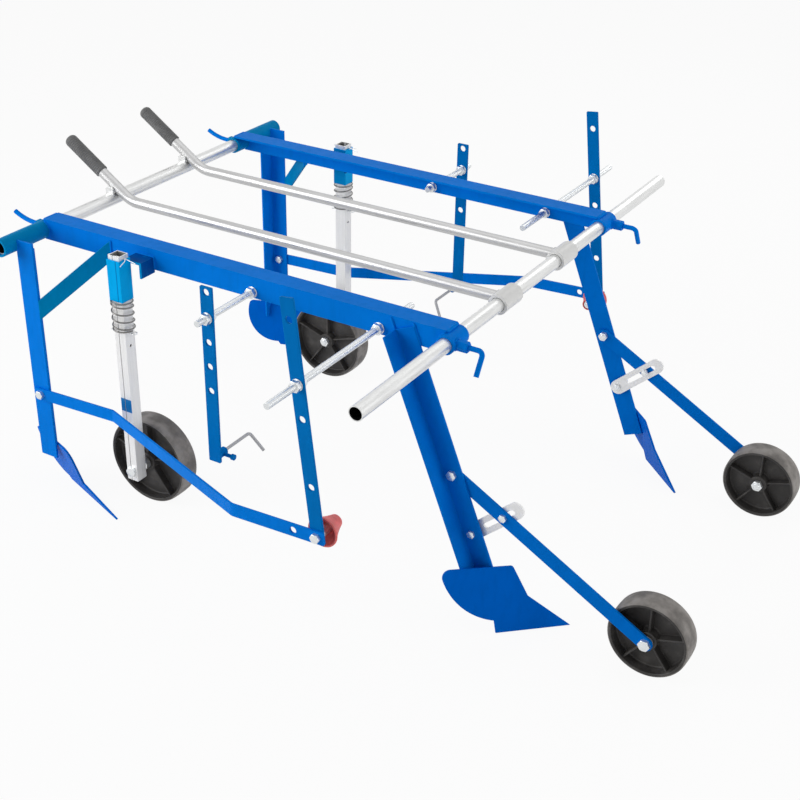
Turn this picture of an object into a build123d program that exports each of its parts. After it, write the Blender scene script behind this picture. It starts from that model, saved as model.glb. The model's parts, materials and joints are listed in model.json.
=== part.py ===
"""Hand mulch film layer: two angle-iron side frames on two cross tubes, with film cones, wheels and shares.

Millimetres, +X forward, +Y left, +Z up, ground at Z = 0. The left side is built and mirrored to the right.
"""
import os
from math import cos, pi, radians, sin, sqrt, tan

from build123d import *

# Clearances: turning fit, bolt in its hole, threaded rod in its hole, and side play of what turns
FIT = 0.05
BOLT_CLEAR = 0.1
ROD_CLEAR = 0.2
PLAY = 0.4
PAST = 10.0

# Bolts: widths across flats, head and nut heights, and how far the shank stands out of its nut
M8_AF = 13.0
M8_HEIGHTS = (5.0, 6.0)
M10_AF = 16.0
M12_AF = 19.0
BOLT_TAIL = 3.0

# Cross tubes
FRONT_X = 267.24
REAR_X = FRONT_X - 880.0
TUBE_Z = 518.5
TUBE_R = 12.7
TUBE_WALL = 2.0
FRONT_TUBE_HALF = 590.0
REAR_TUBE_HALF = 425.0

# Angle iron of the beams and legs
ANGLE = 40.0
ANGLE_T = 4.0
BEAM_TOP = 540.0
BEAM_OUT = 316.0
BEAM_END_GAP = 4.0

# Sleeves that slide on the tubes, and their clamp screws
SLEEVE_R = 17.0
SLEEVE_BORE_R = 13.2
FRONT_SLEEVE_Y = (275.0, 326.0)
REAR_SLEEVE_Y = (275.0, 430.0)
SCREW_R = 4.5
SCREW_BORE_R = 4.55
SCREW_TIP_GAP = 0.4
BOSS_AF = 17.0
BOSS_START = 14.0
FRONT_BOSS_REACH = 36.0
REAR_BOSS_REACH = 27.0
FRONT_SCREW_Y = 312.0
FRONT_SCREW_REACH = 63.0
FRONT_SCREW_TAIL = 42.0
FRONT_SCREW_LEAN = 31.0
SCREW_BEND_R = 9.0
REAR_SCREW_Y = 300.0
REAR_SCREW_STRAIGHT = 34.0
REAR_SCREW_REACH = 86.0
REAR_SCREW_RISE = 13.0

# Lifting handles
HANDLE_Y = 113.0
HANDLE_R = 10.5
HANDLE_WALL = 2.0
HANDLE_BEND_BACK = 837.0
HANDLE_BEND_R = 60.0
HANDLE_RISE = 33.8
COLLAR_R = 18.5
COLLAR_BORE_R = 13.3
COLLAR_HALF = 30.0
GRIP_START = 86.0
GRIP_END = 185.0
GRIP_R = 13.0
GRIP_DOME = 9.0
GRIP_CAP = 6.0
SADDLE_GAP = 1.0
SADDLE_T = 4.0
SADDLE_SIZE = (18.0, 26.0)

# Threaded rods with the hanger and guide strips
ROD_R = 6.0
ROD_Z = 511.0
HANGER_ROD_X = FRONT_X - 130.0
HANGER_ROD_Y = (210.0, 632.0)
GUIDE_ROD_X = FRONT_X - 390.0
GUIDE_ROD_Y = (290.0, 470.0)
NUT_AF = 18.0
NUT_H = 10.0
STRIP_W = 25.0
STRIP_T = 4.0
HOLE_R = 6.5
HANGER_Y = 550.0
HANGER_TILT = 7.0
HANGER_ABOVE = 143.0
HANGER_CONE = 270.0
HANGER_END = 284.0
HANGER_HOLES = (-107.0, 60.0, 180.0)
GUIDE_Y = 440.0
GUIDE_ABOVE = 57.0
GUIDE_BELOW = 281.0
GUIDE_HOLES = (47.0, -46.0, -92.0, -139.0)
SOCKET_R = 8.0
SOCKET_UP = 9.0
SOCKET_LENGTH = 25.0
THUMB_SCREW_IN = 16.0
THUMB_SCREW_R = 3.5
THUMB_HEAD_R = 5.5
THUMB_HEAD = (24.0, 30.0)
WIRE_R = 3.0
WIRE_REACH = 100.0
WIRE_HOOK = (22.0, -12.0, -36.0)
WIRE_BEND_R = 9.0
WIRE_GAP = 3.0

# Film cones
CONE_BASE_R = 28.0
CONE_NOSE_R = 12.0
CONE_LENGTH = 42.0
CONE_WALL = 3.0
CONE_NOSE = 16.0
CONE_LIP = 4.0
CONE_SINK = 5.0
CONE_SINK_R = 9.8
CONE_GAP = 10.0
CONE_SPACER_R = 8.0
CONE_BOLT_R = 5.0
CONE_BOLT_HEIGHTS = (6.0, 4.0)
CONE_BOLT_TAIL = 0.5

# Legs, shares and the bars between them
LEG_TILT = 22.0
PIVOT_X = FRONT_X + 20.0
PIVOT_Z = 277.0
PIVOT_BOLT_R = 5.0
LEG_ABOVE = 268.0
LEG_BELOW = 224.0
LINK_BOLT_DOWN = 113.0
SHARE_T = 4.0
REAR_LEG_X = (REAR_X + 12.0, REAR_X + 52.0)
REAR_LEG_Y = 395.0
REAR_LEG_Z = (70.0, 528.0)
REAR_FLANGE_TOP = 498.0
REAR_SHARE_Y = 385.0
REAR_SHARE_YAW = 70.0
REAR_SHARE_LEAN = 15.0
BRACE_W = 30.0
BRACE_TOP = (REAR_X + 166.0, BEAM_OUT, 512.0)
BRACE_LOW = (REAR_LEG_X[1], 397.0, 395.0)
BAR_W = 24.0
BAR_BOLT_X = REAR_X + 32.0
BAR_BOLT_Z = 211.0
BAR_BEND_1 = REAR_X + 217.0
BAR_BEND_2 = REAR_X + 613.0
BAR_BEND_R = 20.0
BAR_END = 14.0
BAR_FREE_HOLE = 45.0

# Front depth wheels
ARM_W = 26.0
ARM_Y = (311.6, 315.6)
ARM_BOLT = 111.6
ARM_BOLT_R = 4.0
LINK_Y = (307.2, 311.2)
LINK_W = 30.0
LINK_PAST = 28.0
SLOT_W = 10.0
SLOT_LENGTH = 64.0
SLOT_BACK = 11.7
AXLE_R = 6.0
SPACER_R = 12.0
LINK_SPACER_R = 8.0
FRONT_WHEEL_X = FRONT_X + 388.0
FRONT_WHEEL_R = 72.0
FRONT_WHEEL_Y = (262.0, 306.0)

# Sprung press wheels
POST_X = REAR_X + 232.0
POST_Y = 367.0
POST_W = 25.0
POST_FACES = (POST_Y - POST_W / 2, POST_Y + POST_W / 2)
POST_WALL = 2.0
POST_Z = (70.0, 540.0)
POST_SLEEVE_Z = (452.0, 532.0)
POST_PIN_Z = 534.3
POST_SEAM_X = POST_X - 2.5
POST_SEAM_W = 1.6
POST_SLEEVE_W = 30.0
POST_SLEEVE_BORE = 26.0
STUB_X = (POST_X - 1.0, POST_X + 39.0)
STUB_Z = (495.0, 525.0)
PRESS_WHEEL_R = 90.0
PRESS_WHEEL_Y = (292.0, 336.0)
WHEEL_RIM = 8.0
WHEEL_WEB = 5.0
WHEEL_HUB_R = 17.0
WHEEL_RIBS = 5
RIB_T = 6.0
RIB_DROP = 5.0
SPRING_Z = (391.0, POST_SLEEVE_Z[0])
SPRING_WIRE = 3.0
SPRING_R = 19.8
SPRING_TURNS = 5.5
SPRING_END_PITCH = 3.7
SPRING_SEAT_GAP = 0.3
SEAT_PIN_R = 2.5
SEAT_PIN_X = (POST_X - 26.0, POST_X + 30.0)
SEAT_PIN_Z = SPRING_Z[0] - SEAT_PIN_R
SEAT_PIN_STEP = 28.0
TOP_PIN_R = 1.6
TOP_PIN_X = (POST_X - 22.0, POST_X + 26.0)

LEG_FORWARD = Vector(cos(radians(LEG_TILT)), 0, sin(radians(LEG_TILT)))
LEG_UP = Vector(-sin(radians(LEG_TILT)), 0, cos(radians(LEG_TILT)))
HANGER_DOWN = Vector(sin(radians(HANGER_TILT)), 0, -cos(radians(HANGER_TILT)))
CONE_X = HANGER_ROD_X + HANGER_CONE * HANGER_DOWN.X
CONE_Z = ROD_Z + HANGER_CONE * HANGER_DOWN.Z
LINK_BOLT = Vector(PIVOT_X, 0, PIVOT_Z) - LEG_UP * LINK_BOLT_DOWN
ARM_DIR = (Vector(FRONT_WHEEL_X, 0, FRONT_WHEEL_R) - Vector(PIVOT_X, 0, PIVOT_Z)).normalized()
ARM_END = Vector(PIVOT_X, 0, PIVOT_Z) + ARM_DIR * ARM_BOLT
MIDDLE = (Align.CENTER, Align.CENTER, Align.MIN)

os.makedirs("parts", exist_ok=True)


def save(shape, name):
    """Write one sub-component under its own name."""
    shape.label = name
    export_step(shape, f"parts/{name}.step")


def save_pair(shape, name):
    """Write the left sub-component and its mirror image on the right."""
    save(shape, f"left_{name}")
    save(mirror(shape, about=Plane.XZ), f"right_{name}")


def side(y):
    """Plane of constant Y whose sketch axes are X and Z, facing inboard on the left."""
    return Plane.XZ.offset(-y)


def rod(radius, start, end, mode=Mode.ADD):
    """Round bar between two points."""
    axis = Vector(*end) - Vector(*start)
    with Locations(Plane(origin=start, z_dir=axis)):
        Cylinder(radius, axis.length, align=MIDDLE, mode=mode)


def hole(radius, x, z, y0, y1):
    """Round hole along Y, cut past both of two planes."""
    rod(radius, (x, y0 - PAST, z), (x, y1 + PAST, z), Mode.SUBTRACT)


def hexagon(across, start, end, flat_dir=(0, 0, 1)):
    """Hexagonal prism between two points, one flat facing flat_dir."""
    axis = Vector(*end) - Vector(*start)
    with BuildSketch(Plane(origin=start, x_dir=flat_dir, z_dir=axis)) as hexa:
        RegularPolygon(across / 2, 6, major_radius=False, rotation=30)
    extrude(hexa.sketch, amount=axis.length)


def nut(across, x, z, y0, y1, bore):
    """Hexagonal nut on a bar that runs along Y."""
    hexagon(across, (x, y0, z), (x, y1, z))
    rod(bore, (x, y0, z), (x, y1, z), Mode.SUBTRACT)


def bolt(radius, x, z, head, tail, across, head_h=6.5, nut_h=8.0, stand=BOLT_TAIL):
    """Bolt along Y with its head outboard of `head` and its nut inboard of `tail`."""
    hexagon(across, (x, head, z), (x, head + head_h, z))
    rod(radius, (x, tail - nut_h - stand, z), (x, head + 1, z))
    hexagon(across, (x, tail - nut_h, z), (x, tail, z))


def ring(outer, inner, x, z, y0, y1):
    """Washer or spacer on a bar that runs along Y."""
    with BuildSketch(side(y1)) as washer:
        with Locations((x, z)):
            Circle(outer)
            Circle(inner, mode=Mode.SUBTRACT)
    extrude(washer.sketch, amount=y1 - y0)


def share(plane, corners, belly, heel_r, shoulder_r, thickness):
    """Plate with straight edges round its point and a curved tail; its heel and shoulder are rounded."""
    with BuildSketch(plane) as face:
        with BuildLine():
            Polyline(*corners)
            ThreePointArc(corners[-1], belly, corners[0])
        make_face()
        for corner, radius in ((corners[0], heel_r), (corners[1], shoulder_r)):
            fillet(face.vertices().sort_by_distance(corner)[0], radius)
    extrude(face.sketch, amount=thickness)


def wheel(radius, y0, y1, x, z):
    """Moulded wheel: rim, thin web, hub and radial ribs."""
    mid = (y0 + y1) / 2
    rim_inner = radius - WHEEL_RIM
    rib_start = WHEEL_HUB_R - 3
    ring(radius, rim_inner, x, z, y0, y1)
    ring(rim_inner + 1, WHEEL_HUB_R - 1, x, z, mid - WHEEL_WEB / 2, mid + WHEEL_WEB / 2)
    ring(WHEEL_HUB_R, AXLE_R + FIT, x, z, y0, y1)
    for index in range(WHEEL_RIBS):
        angle = 90 + 360 / WHEEL_RIBS * index
        with BuildSketch(side(y1 - RIB_DROP)) as rib:
            with Locations(Location((x, z), angle)):
                with Locations((rib_start, 0)):
                    Rectangle(rim_inner + 1 - rib_start, RIB_T, align=(Align.MIN, Align.CENTER))
        extrude(rib.sketch, amount=y1 - y0 - 2 * RIB_DROP)


# Cross tubes
with BuildPart() as front_tube:
    rod(TUBE_R, (FRONT_X, -FRONT_TUBE_HALF, TUBE_Z), (FRONT_X, FRONT_TUBE_HALF, TUBE_Z))
    hole(TUBE_R - TUBE_WALL, FRONT_X, TUBE_Z, -FRONT_TUBE_HALF, FRONT_TUBE_HALF)
save(front_tube.part, "front_tube")

with BuildPart() as rear_tube:
    rod(TUBE_R, (REAR_X, -REAR_TUBE_HALF, TUBE_Z), (REAR_X, REAR_TUBE_HALF, TUBE_Z))
    for y in (-HANDLE_Y, HANDLE_Y):
        for hand in (-1, 1):
            ear = y + hand * (HANDLE_R + SADDLE_GAP + SADDLE_T / 2)
            with BuildSketch(side(ear + SADDLE_T / 2)):
                with Locations((REAR_X, TUBE_Z + SADDLE_SIZE[1] / 2)):
                    RectangleRounded(*SADDLE_SIZE, 4)
            extrude(amount=SADDLE_T)
    hole(TUBE_R - TUBE_WALL, REAR_X, TUBE_Z, -REAR_TUBE_HALF, REAR_TUBE_HALF)
save(rear_tube.part, "rear_tube")

# Beam with its ends cut round the sleeves
with BuildPart() as beam:
    with BuildSketch(Plane.YZ.offset(REAR_X + BEAM_END_GAP)):
        with BuildLine():
            Polyline(
                (BEAM_OUT, BEAM_TOP),
                (BEAM_OUT - ANGLE, BEAM_TOP),
                (BEAM_OUT - ANGLE, BEAM_TOP - ANGLE_T),
                (BEAM_OUT - ANGLE_T, BEAM_TOP - ANGLE_T),
                (BEAM_OUT - ANGLE_T, BEAM_TOP - ANGLE),
                (BEAM_OUT, BEAM_TOP - ANGLE),
                close=True,
            )
        make_face()
    extrude(amount=FRONT_X - REAR_X - 2 * BEAM_END_GAP)
    for x in (FRONT_X, REAR_X):
        hole(SLEEVE_R, x, TUBE_Z, BEAM_OUT - ANGLE, BEAM_OUT)
    for x in (HANGER_ROD_X, GUIDE_ROD_X):
        hole(ROD_R + ROD_CLEAR, x, ROD_Z, BEAM_OUT - ANGLE_T, BEAM_OUT)
save_pair(beam.part, "beam")

# Sleeves with a welded nut for the clamp screw
with BuildPart() as front_sleeve:
    rod(SLEEVE_R, (FRONT_X, FRONT_SLEEVE_Y[0], TUBE_Z), (FRONT_X, FRONT_SLEEVE_Y[1], TUBE_Z))
    front_boss = (FRONT_X + FRONT_BOSS_REACH, FRONT_SCREW_Y, TUBE_Z)
    hexagon(BOSS_AF, (FRONT_X + BOSS_START, FRONT_SCREW_Y, TUBE_Z), front_boss)
    hole(SLEEVE_BORE_R, FRONT_X, TUBE_Z, *FRONT_SLEEVE_Y)
    rod(SCREW_BORE_R, (FRONT_X, FRONT_SCREW_Y, TUBE_Z), front_boss, Mode.SUBTRACT)
save_pair(front_sleeve.part, "front_sleeve")

with BuildPart() as rear_sleeve:
    rod(SLEEVE_R, (REAR_X, REAR_SLEEVE_Y[0], TUBE_Z), (REAR_X, REAR_SLEEVE_Y[1], TUBE_Z))
    rear_boss = (REAR_X - REAR_BOSS_REACH, REAR_SCREW_Y, TUBE_Z)
    hexagon(BOSS_AF, (REAR_X - BOSS_START, REAR_SCREW_Y, TUBE_Z), rear_boss)
    hole(SLEEVE_BORE_R, REAR_X, TUBE_Z, *REAR_SLEEVE_Y)
    rod(SCREW_BORE_R, (REAR_X, REAR_SCREW_Y, TUBE_Z), rear_boss, Mode.SUBTRACT)
save_pair(rear_sleeve.part, "rear_sleeve")

# Clamp screws: a bent front screw that hangs down and a curved rear one
lean = radians(FRONT_SCREW_LEAN)
tail_end = (
    FRONT_X + FRONT_SCREW_REACH,
    FRONT_SCREW_Y + FRONT_SCREW_TAIL * sin(lean),
    TUBE_Z - FRONT_SCREW_TAIL * cos(lean),
)
with BuildPart() as front_clamp_screw:
    with BuildLine():
        FilletPolyline(
            (FRONT_X + TUBE_R + SCREW_TIP_GAP, FRONT_SCREW_Y, TUBE_Z),
            (FRONT_X + FRONT_SCREW_REACH, FRONT_SCREW_Y, TUBE_Z),
            tail_end,
            radius=SCREW_BEND_R,
        )
    with BuildSketch(Plane.YZ.offset(FRONT_X + TUBE_R + SCREW_TIP_GAP)):
        with Locations((FRONT_SCREW_Y, TUBE_Z)):
            Circle(SCREW_R)
    sweep()
save_pair(front_clamp_screw.part, "front_clamp_screw")

with BuildPart() as rear_clamp_screw:
    with BuildLine():
        straight = Line(
            (REAR_X - TUBE_R - SCREW_TIP_GAP, REAR_SCREW_Y, TUBE_Z),
            (REAR_X - REAR_SCREW_STRAIGHT, REAR_SCREW_Y, TUBE_Z),
        )
        TangentArc(
            straight @ 1,
            (REAR_X - REAR_SCREW_REACH, REAR_SCREW_Y, TUBE_Z + REAR_SCREW_RISE),
            tangent=straight % 1,
        )
    with BuildSketch(Plane(origin=straight @ 0, z_dir=straight % 0)):
        Circle(SCREW_R)
    sweep()
save_pair(rear_clamp_screw.part, "rear_clamp_screw")

# Handle tube welded to a loose collar, and its grip
rise = Vector(-cos(radians(HANDLE_RISE)), 0, sin(radians(HANDLE_RISE)))
bend = Vector(FRONT_X - HANDLE_BEND_BACK, HANDLE_Y, TUBE_Z)
tangent_back = HANDLE_BEND_R * tan(radians(HANDLE_RISE) / 2)
bend_start = bend + Vector(tangent_back, 0, 0)
bend_end = bend + rise * tangent_back
with BuildPart() as collar:
    rod(COLLAR_R, (FRONT_X, HANDLE_Y - COLLAR_HALF, TUBE_Z), (FRONT_X, HANDLE_Y + COLLAR_HALF, TUBE_Z))
    hole(COLLAR_BORE_R, FRONT_X, TUBE_Z, HANDLE_Y - COLLAR_HALF, HANDLE_Y + COLLAR_HALF)

with BuildPart() as straight_tube:
    rod(HANDLE_R, (FRONT_X - COLLAR_BORE_R, HANDLE_Y, TUBE_Z), bend_start)
    rod(HANDLE_R - HANDLE_WALL, (FRONT_X, HANDLE_Y, TUBE_Z), bend_start, Mode.SUBTRACT)
    hole(COLLAR_R, FRONT_X, TUBE_Z, HANDLE_Y - COLLAR_HALF, HANDLE_Y + COLLAR_HALF)

with BuildPart() as bent_tube:
    with BuildLine():
        TangentArc(bend_start, bend_end, tangent=(-1, 0, 0))
        Line(bend_end, bend + rise * (GRIP_END - GRIP_CAP))
    with BuildSketch(Plane(origin=bend_start, z_dir=(-1, 0, 0))):
        Circle(HANDLE_R)
        Circle(HANDLE_R - HANDLE_WALL, mode=Mode.SUBTRACT)
    sweep()
save_pair(Compound(children=[collar.part, straight_tube.part, bent_tube.part]), "handle")

with BuildPart() as grip:
    rod(GRIP_R, bend + rise * GRIP_START, bend + rise * GRIP_END)
    fillet(grip.faces().sort_by(Axis.X)[0].edges(), GRIP_DOME)
    bore_end = bend + rise * (GRIP_END - GRIP_CAP + PLAY)
    rod(HANDLE_R + FIT, bend + rise * (GRIP_START - 1), bore_end, Mode.SUBTRACT)
save_pair(grip.part, "grip")

# Threaded rods, one for the hanger strip and one for the guide strip
with BuildPart() as threaded_rods:
    rod(ROD_R, (HANGER_ROD_X, HANGER_ROD_Y[0], ROD_Z), (HANGER_ROD_X, HANGER_ROD_Y[1], ROD_Z))
    rod(ROD_R, (GUIDE_ROD_X, GUIDE_ROD_Y[0], ROD_Z), (GUIDE_ROD_X, GUIDE_ROD_Y[1], ROD_Z))
save_pair(threaded_rods.part, "threaded_rods")

# Hanger strip, leaning so that its foot is forward
hanger_plane = Plane(
    origin=(HANGER_ROD_X, HANGER_Y + STRIP_T / 2, ROD_Z),
    x_dir=(HANGER_DOWN.X, 0, HANGER_DOWN.Z),
    z_dir=(0, -1, 0),
)
with BuildPart() as hanger_strip:
    with BuildSketch(hanger_plane):
        with Locations(((HANGER_END - HANGER_ABOVE) / 2, 0)):
            RectangleRounded(HANGER_END + HANGER_ABOVE, STRIP_W, 2)
        with Locations(*[(d, 0) for d in HANGER_HOLES]):
            Circle(HOLE_R, mode=Mode.SUBTRACT)
        Circle(ROD_R + ROD_CLEAR, mode=Mode.SUBTRACT)
        with Locations((HANGER_CONE, 0)):
            Circle(CONE_BOLT_R + BOLT_CLEAR, mode=Mode.SUBTRACT)
    extrude(amount=STRIP_T)
save_pair(hanger_strip.part, "hanger_strip")

# Guide strip with the socket of the guide wire welded at its foot
socket_z = ROD_Z - GUIDE_BELOW + SOCKET_UP
socket_in = GUIDE_Y - STRIP_T / 2 - SOCKET_LENGTH + 1
thumb_y = GUIDE_Y - THUMB_SCREW_IN
wire_end = GUIDE_Y - STRIP_T / 2 - WIRE_GAP
with BuildPart() as guide_strip:
    with BuildSketch(side(GUIDE_Y + STRIP_T / 2)):
        with Locations((GUIDE_ROD_X, ROD_Z + (GUIDE_ABOVE - GUIDE_BELOW) / 2)):
            RectangleRounded(STRIP_W, GUIDE_ABOVE + GUIDE_BELOW, 2)
        with Locations(*[(GUIDE_ROD_X, ROD_Z + d) for d in GUIDE_HOLES]):
            Circle(HOLE_R, mode=Mode.SUBTRACT)
        with Locations((GUIDE_ROD_X, ROD_Z)):
            Circle(ROD_R + ROD_CLEAR, mode=Mode.SUBTRACT)
    extrude(amount=STRIP_T)
    rod(SOCKET_R, (GUIDE_ROD_X, socket_in, socket_z), (GUIDE_ROD_X, GUIDE_Y, socket_z))
    thumb_head = [(GUIDE_ROD_X + reach, thumb_y, socket_z) for reach in THUMB_HEAD]
    rod(THUMB_SCREW_R, (GUIDE_ROD_X, thumb_y, socket_z), thumb_head[1])
    rod(THUMB_HEAD_R, *thumb_head)
    bore_end = (GUIDE_ROD_X, wire_end + 1, socket_z)
    rod(WIRE_R + FIT, (GUIDE_ROD_X, socket_in, socket_z), bore_end, Mode.SUBTRACT)
save_pair(guide_strip.part, "guide_strip")

wire_corner = Vector(GUIDE_ROD_X, GUIDE_Y - WIRE_REACH, socket_z)
with BuildPart() as guide_wire:
    with BuildLine():
        FilletPolyline(
            (GUIDE_ROD_X, wire_end, socket_z),
            wire_corner,
            wire_corner + Vector(*WIRE_HOOK),
            radius=WIRE_BEND_R,
        )
    with BuildSketch(Plane(origin=(GUIDE_ROD_X, wire_end, socket_z), z_dir=(0, -1, 0))):
        Circle(WIRE_R)
    sweep()
save_pair(guide_wire.part, "guide_wire")

# Film cone: an open shell with a thick nose that turns on its bolt, the nut sunk in the nose
cone_base = HANGER_Y - STRIP_T / 2 - CONE_GAP
cone_tip = cone_base - CONE_LENGTH
with BuildPart() as film_cone:
    with BuildSketch(Plane(origin=(CONE_X, 0, CONE_Z), x_dir=(0, 1, 0), z_dir=(1, 0, 0))):
        with BuildLine():
            Polyline(
                (cone_tip + CONE_SINK, CONE_BOLT_R + FIT),
                (cone_tip + CONE_SINK, CONE_SINK_R),
                (cone_tip, CONE_SINK_R),
                (cone_tip, CONE_NOSE_R - 1),
                (cone_tip + 1, CONE_NOSE_R),
                (cone_base - CONE_LIP, CONE_BASE_R),
                (cone_base, CONE_BASE_R),
                (cone_base, CONE_BASE_R - CONE_WALL),
                (cone_base - CONE_LIP, CONE_BASE_R - CONE_WALL),
                (cone_tip + CONE_NOSE, CONE_BOLT_R + 4),
                (cone_tip + CONE_NOSE, CONE_BOLT_R + FIT),
                close=True,
            )
        make_face()
    revolve(axis=Axis((CONE_X, 0, CONE_Z), (0, 1, 0)))
save_pair(film_cone.part, "film_cone")

# Front leg and the share across its open side
leg_plane = Plane(origin=(PIVOT_X, BEAM_OUT, PIVOT_Z), x_dir=LEG_FORWARD, z_dir=LEG_UP)
half = ANGLE / 2
with BuildPart() as front_leg:
    with BuildSketch(leg_plane.offset(-LEG_BELOW)):
        with BuildLine():
            Polyline(
                (-half, 0),
                (half, 0),
                (half, ANGLE_T),
                (ANGLE_T - half, ANGLE_T),
                (ANGLE_T - half, ANGLE),
                (-half, ANGLE),
                close=True,
            )
        make_face()
    extrude(amount=LEG_BELOW + LEG_ABOVE)
    hole(PIVOT_BOLT_R + BOLT_CLEAR, PIVOT_X, PIVOT_Z, BEAM_OUT, BEAM_OUT + ANGLE_T)
    hole(ARM_BOLT_R + BOLT_CLEAR, LINK_BOLT.X, LINK_BOLT.Z, BEAM_OUT, BEAM_OUT + ANGLE_T)
save_pair(front_leg.part, "front_leg")

outboard = Vector(0, 1, 0)
front_share_plane = Plane(
    origin=Vector(PIVOT_X, BEAM_OUT + ANGLE_T, PIVOT_Z) + LEG_FORWARD * half,
    x_dir=LEG_FORWARD - outboard,
    z_dir=LEG_FORWARD + outboard,
)
front_corners = [(-87, 148), (35, 188), (44, 251), (99, 332), (-30, 294), (-26, 271)]
with BuildPart() as front_share:
    share(front_share_plane, front_corners, (-77, 217), 14, 6, SHARE_T)
save_pair(front_share.part, "front_share")

# Rear share, turned inboard, and the rear leg slotted to take it
yaw = radians(REAR_SHARE_YAW)
lean_back = radians(REAR_SHARE_LEAN)
rear_share_plane = Plane(
    origin=(REAR_LEG_X[1], REAR_SHARE_Y, REAR_LEG_Z[0]),
    x_dir=(sin(yaw), cos(yaw), 0),
    z_dir=(-cos(yaw) * cos(lean_back), sin(yaw) * cos(lean_back), -sin(lean_back)),
)
rear_corners = [(-88, -32), (46, -32), (56, 46), (178, 70), (-8, 70), (-14, 63)]
with BuildPart() as rear_share:
    share(rear_share_plane, rear_corners, (-84, 24), 10, 26, -SHARE_T)
save_pair(rear_share.part, "rear_share")

with BuildPart() as rear_leg:
    with BuildSketch(Plane.XY.offset(REAR_LEG_Z[0])):
        with Locations((REAR_LEG_X[0], REAR_LEG_Y)):
            Rectangle(ANGLE, ANGLE_T, align=(Align.MIN, Align.MIN))
    extrude(amount=REAR_LEG_Z[1] - REAR_LEG_Z[0])
    with BuildSketch(Plane.XY.offset(REAR_LEG_Z[0])):
        with Locations((REAR_LEG_X[0], REAR_LEG_Y + ANGLE_T)):
            Rectangle(ANGLE_T, ANGLE, align=(Align.MIN, Align.MAX))
    extrude(amount=REAR_FLANGE_TOP - REAR_LEG_Z[0])
    hole(SLEEVE_R, REAR_X, TUBE_Z, REAR_LEG_Y, REAR_LEG_Y + ANGLE_T)
    hole(PIVOT_BOLT_R + BOLT_CLEAR, BAR_BOLT_X, BAR_BOLT_Z, REAR_LEG_Y, REAR_LEG_Y + ANGLE_T)
    add(rear_share.part, mode=Mode.SUBTRACT)
save_pair(rear_leg.part, "rear_leg")

# Flat brace from the beam to the rear leg
brace_dir = Vector(*BRACE_LOW) - Vector(*BRACE_TOP)
brace_flat = Vector(brace_dir.Y, -brace_dir.X, 0).normalized()
with BuildPart() as leg_brace:
    with BuildSketch(Plane(origin=Vector(*BRACE_TOP) - brace_dir * 0.2, x_dir=brace_flat, z_dir=brace_dir)):
        Rectangle(STRIP_T, BRACE_W)
    extrude(amount=brace_dir.length * 1.4)
    with Locations((BRACE_TOP[0], BEAM_OUT, BEAM_TOP - 30)):
        Box(400, 200, 400, align=(Align.CENTER, Align.MAX, Align.CENTER), mode=Mode.SUBTRACT)
    with Locations((REAR_LEG_X[1], 400, 400)):
        Box(200, 300, 500, align=(Align.MAX, Align.CENTER, Align.CENTER), mode=Mode.SUBTRACT)
save_pair(leg_brace.part, "leg_brace")

# Bar with two bends from the rear leg to the cone bolt
bar_x_dir = (Vector(CONE_X, 0, CONE_Z) - Vector(BAR_BOLT_X, 0, BAR_BOLT_Z)).normalized()
bar_up = Vector(-bar_x_dir.Z, 0, bar_x_dir.X)
bar_plane = Plane(origin=Vector(CONE_X, 0, CONE_Z) - bar_up * (BAR_W / 2), x_dir=bar_x_dir, z_dir=bar_up)
bar_in = REAR_LEG_Y + ANGLE_T
bar_out = HANGER_Y + STRIP_T / 2
bar_points = [
    (BAR_BOLT_X - CONE_X - BAR_END, bar_in),
    (BAR_BEND_1 - CONE_X, bar_in),
    (BAR_BEND_2 - CONE_X, bar_out),
    (BAR_END, bar_out),
]
with BuildPart() as hanger_brace:
    with BuildSketch(bar_plane):
        with BuildLine():
            FilletPolyline(*bar_points, radius=BAR_BEND_R)
            offset(amount=STRIP_T, side=Side.LEFT)
        make_face()
    extrude(amount=BAR_W)
    hole(CONE_BOLT_R + BOLT_CLEAR, CONE_X, CONE_Z, bar_out, bar_out + STRIP_T)
    hole(PIVOT_BOLT_R + BOLT_CLEAR, BAR_BOLT_X, BAR_BOLT_Z, bar_in, bar_in + STRIP_T)
    free_hole = Vector(CONE_X, 0, CONE_Z) - bar_x_dir * BAR_FREE_HOLE
    hole(HOLE_R, free_hole.X, free_hole.Z, bar_out, bar_out + STRIP_T)
save_pair(hanger_brace.part, "hanger_brace")

# Bracket that carries the press wheel post
with BuildPart() as post_bracket:
    with BuildSketch(Plane.XY.offset(POST_SLEEVE_Z[0])):
        with Locations((POST_X, POST_Y)):
            Rectangle(POST_SLEEVE_W, POST_SLEEVE_W)
    extrude(amount=POST_SLEEVE_Z[1] - POST_SLEEVE_Z[0])
    with BuildSketch(side(POST_Y - POST_SLEEVE_W / 2 + 1)):
        with BuildLine():
            Polyline(
                (STUB_X[0], STUB_Z[1]),
                (STUB_X[1], STUB_Z[1]),
                (STUB_X[1], STUB_Z[0]),
                (STUB_X[1] - ANGLE_T, STUB_Z[0]),
                (STUB_X[1] - ANGLE_T, STUB_Z[1] - ANGLE_T),
                (STUB_X[0], STUB_Z[1] - ANGLE_T),
                close=True,
            )
        make_face()
    extrude(amount=POST_Y - POST_SLEEVE_W / 2 + 1 - BEAM_OUT)
    with BuildSketch(Plane.XY.offset(POST_SLEEVE_Z[0])):
        with Locations((POST_X, POST_Y)):
            Rectangle(POST_SLEEVE_BORE, POST_SLEEVE_BORE)
    extrude(amount=POST_SLEEVE_Z[1] - POST_SLEEVE_Z[0], mode=Mode.SUBTRACT)
save_pair(post_bracket.part, "post_bracket")

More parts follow.
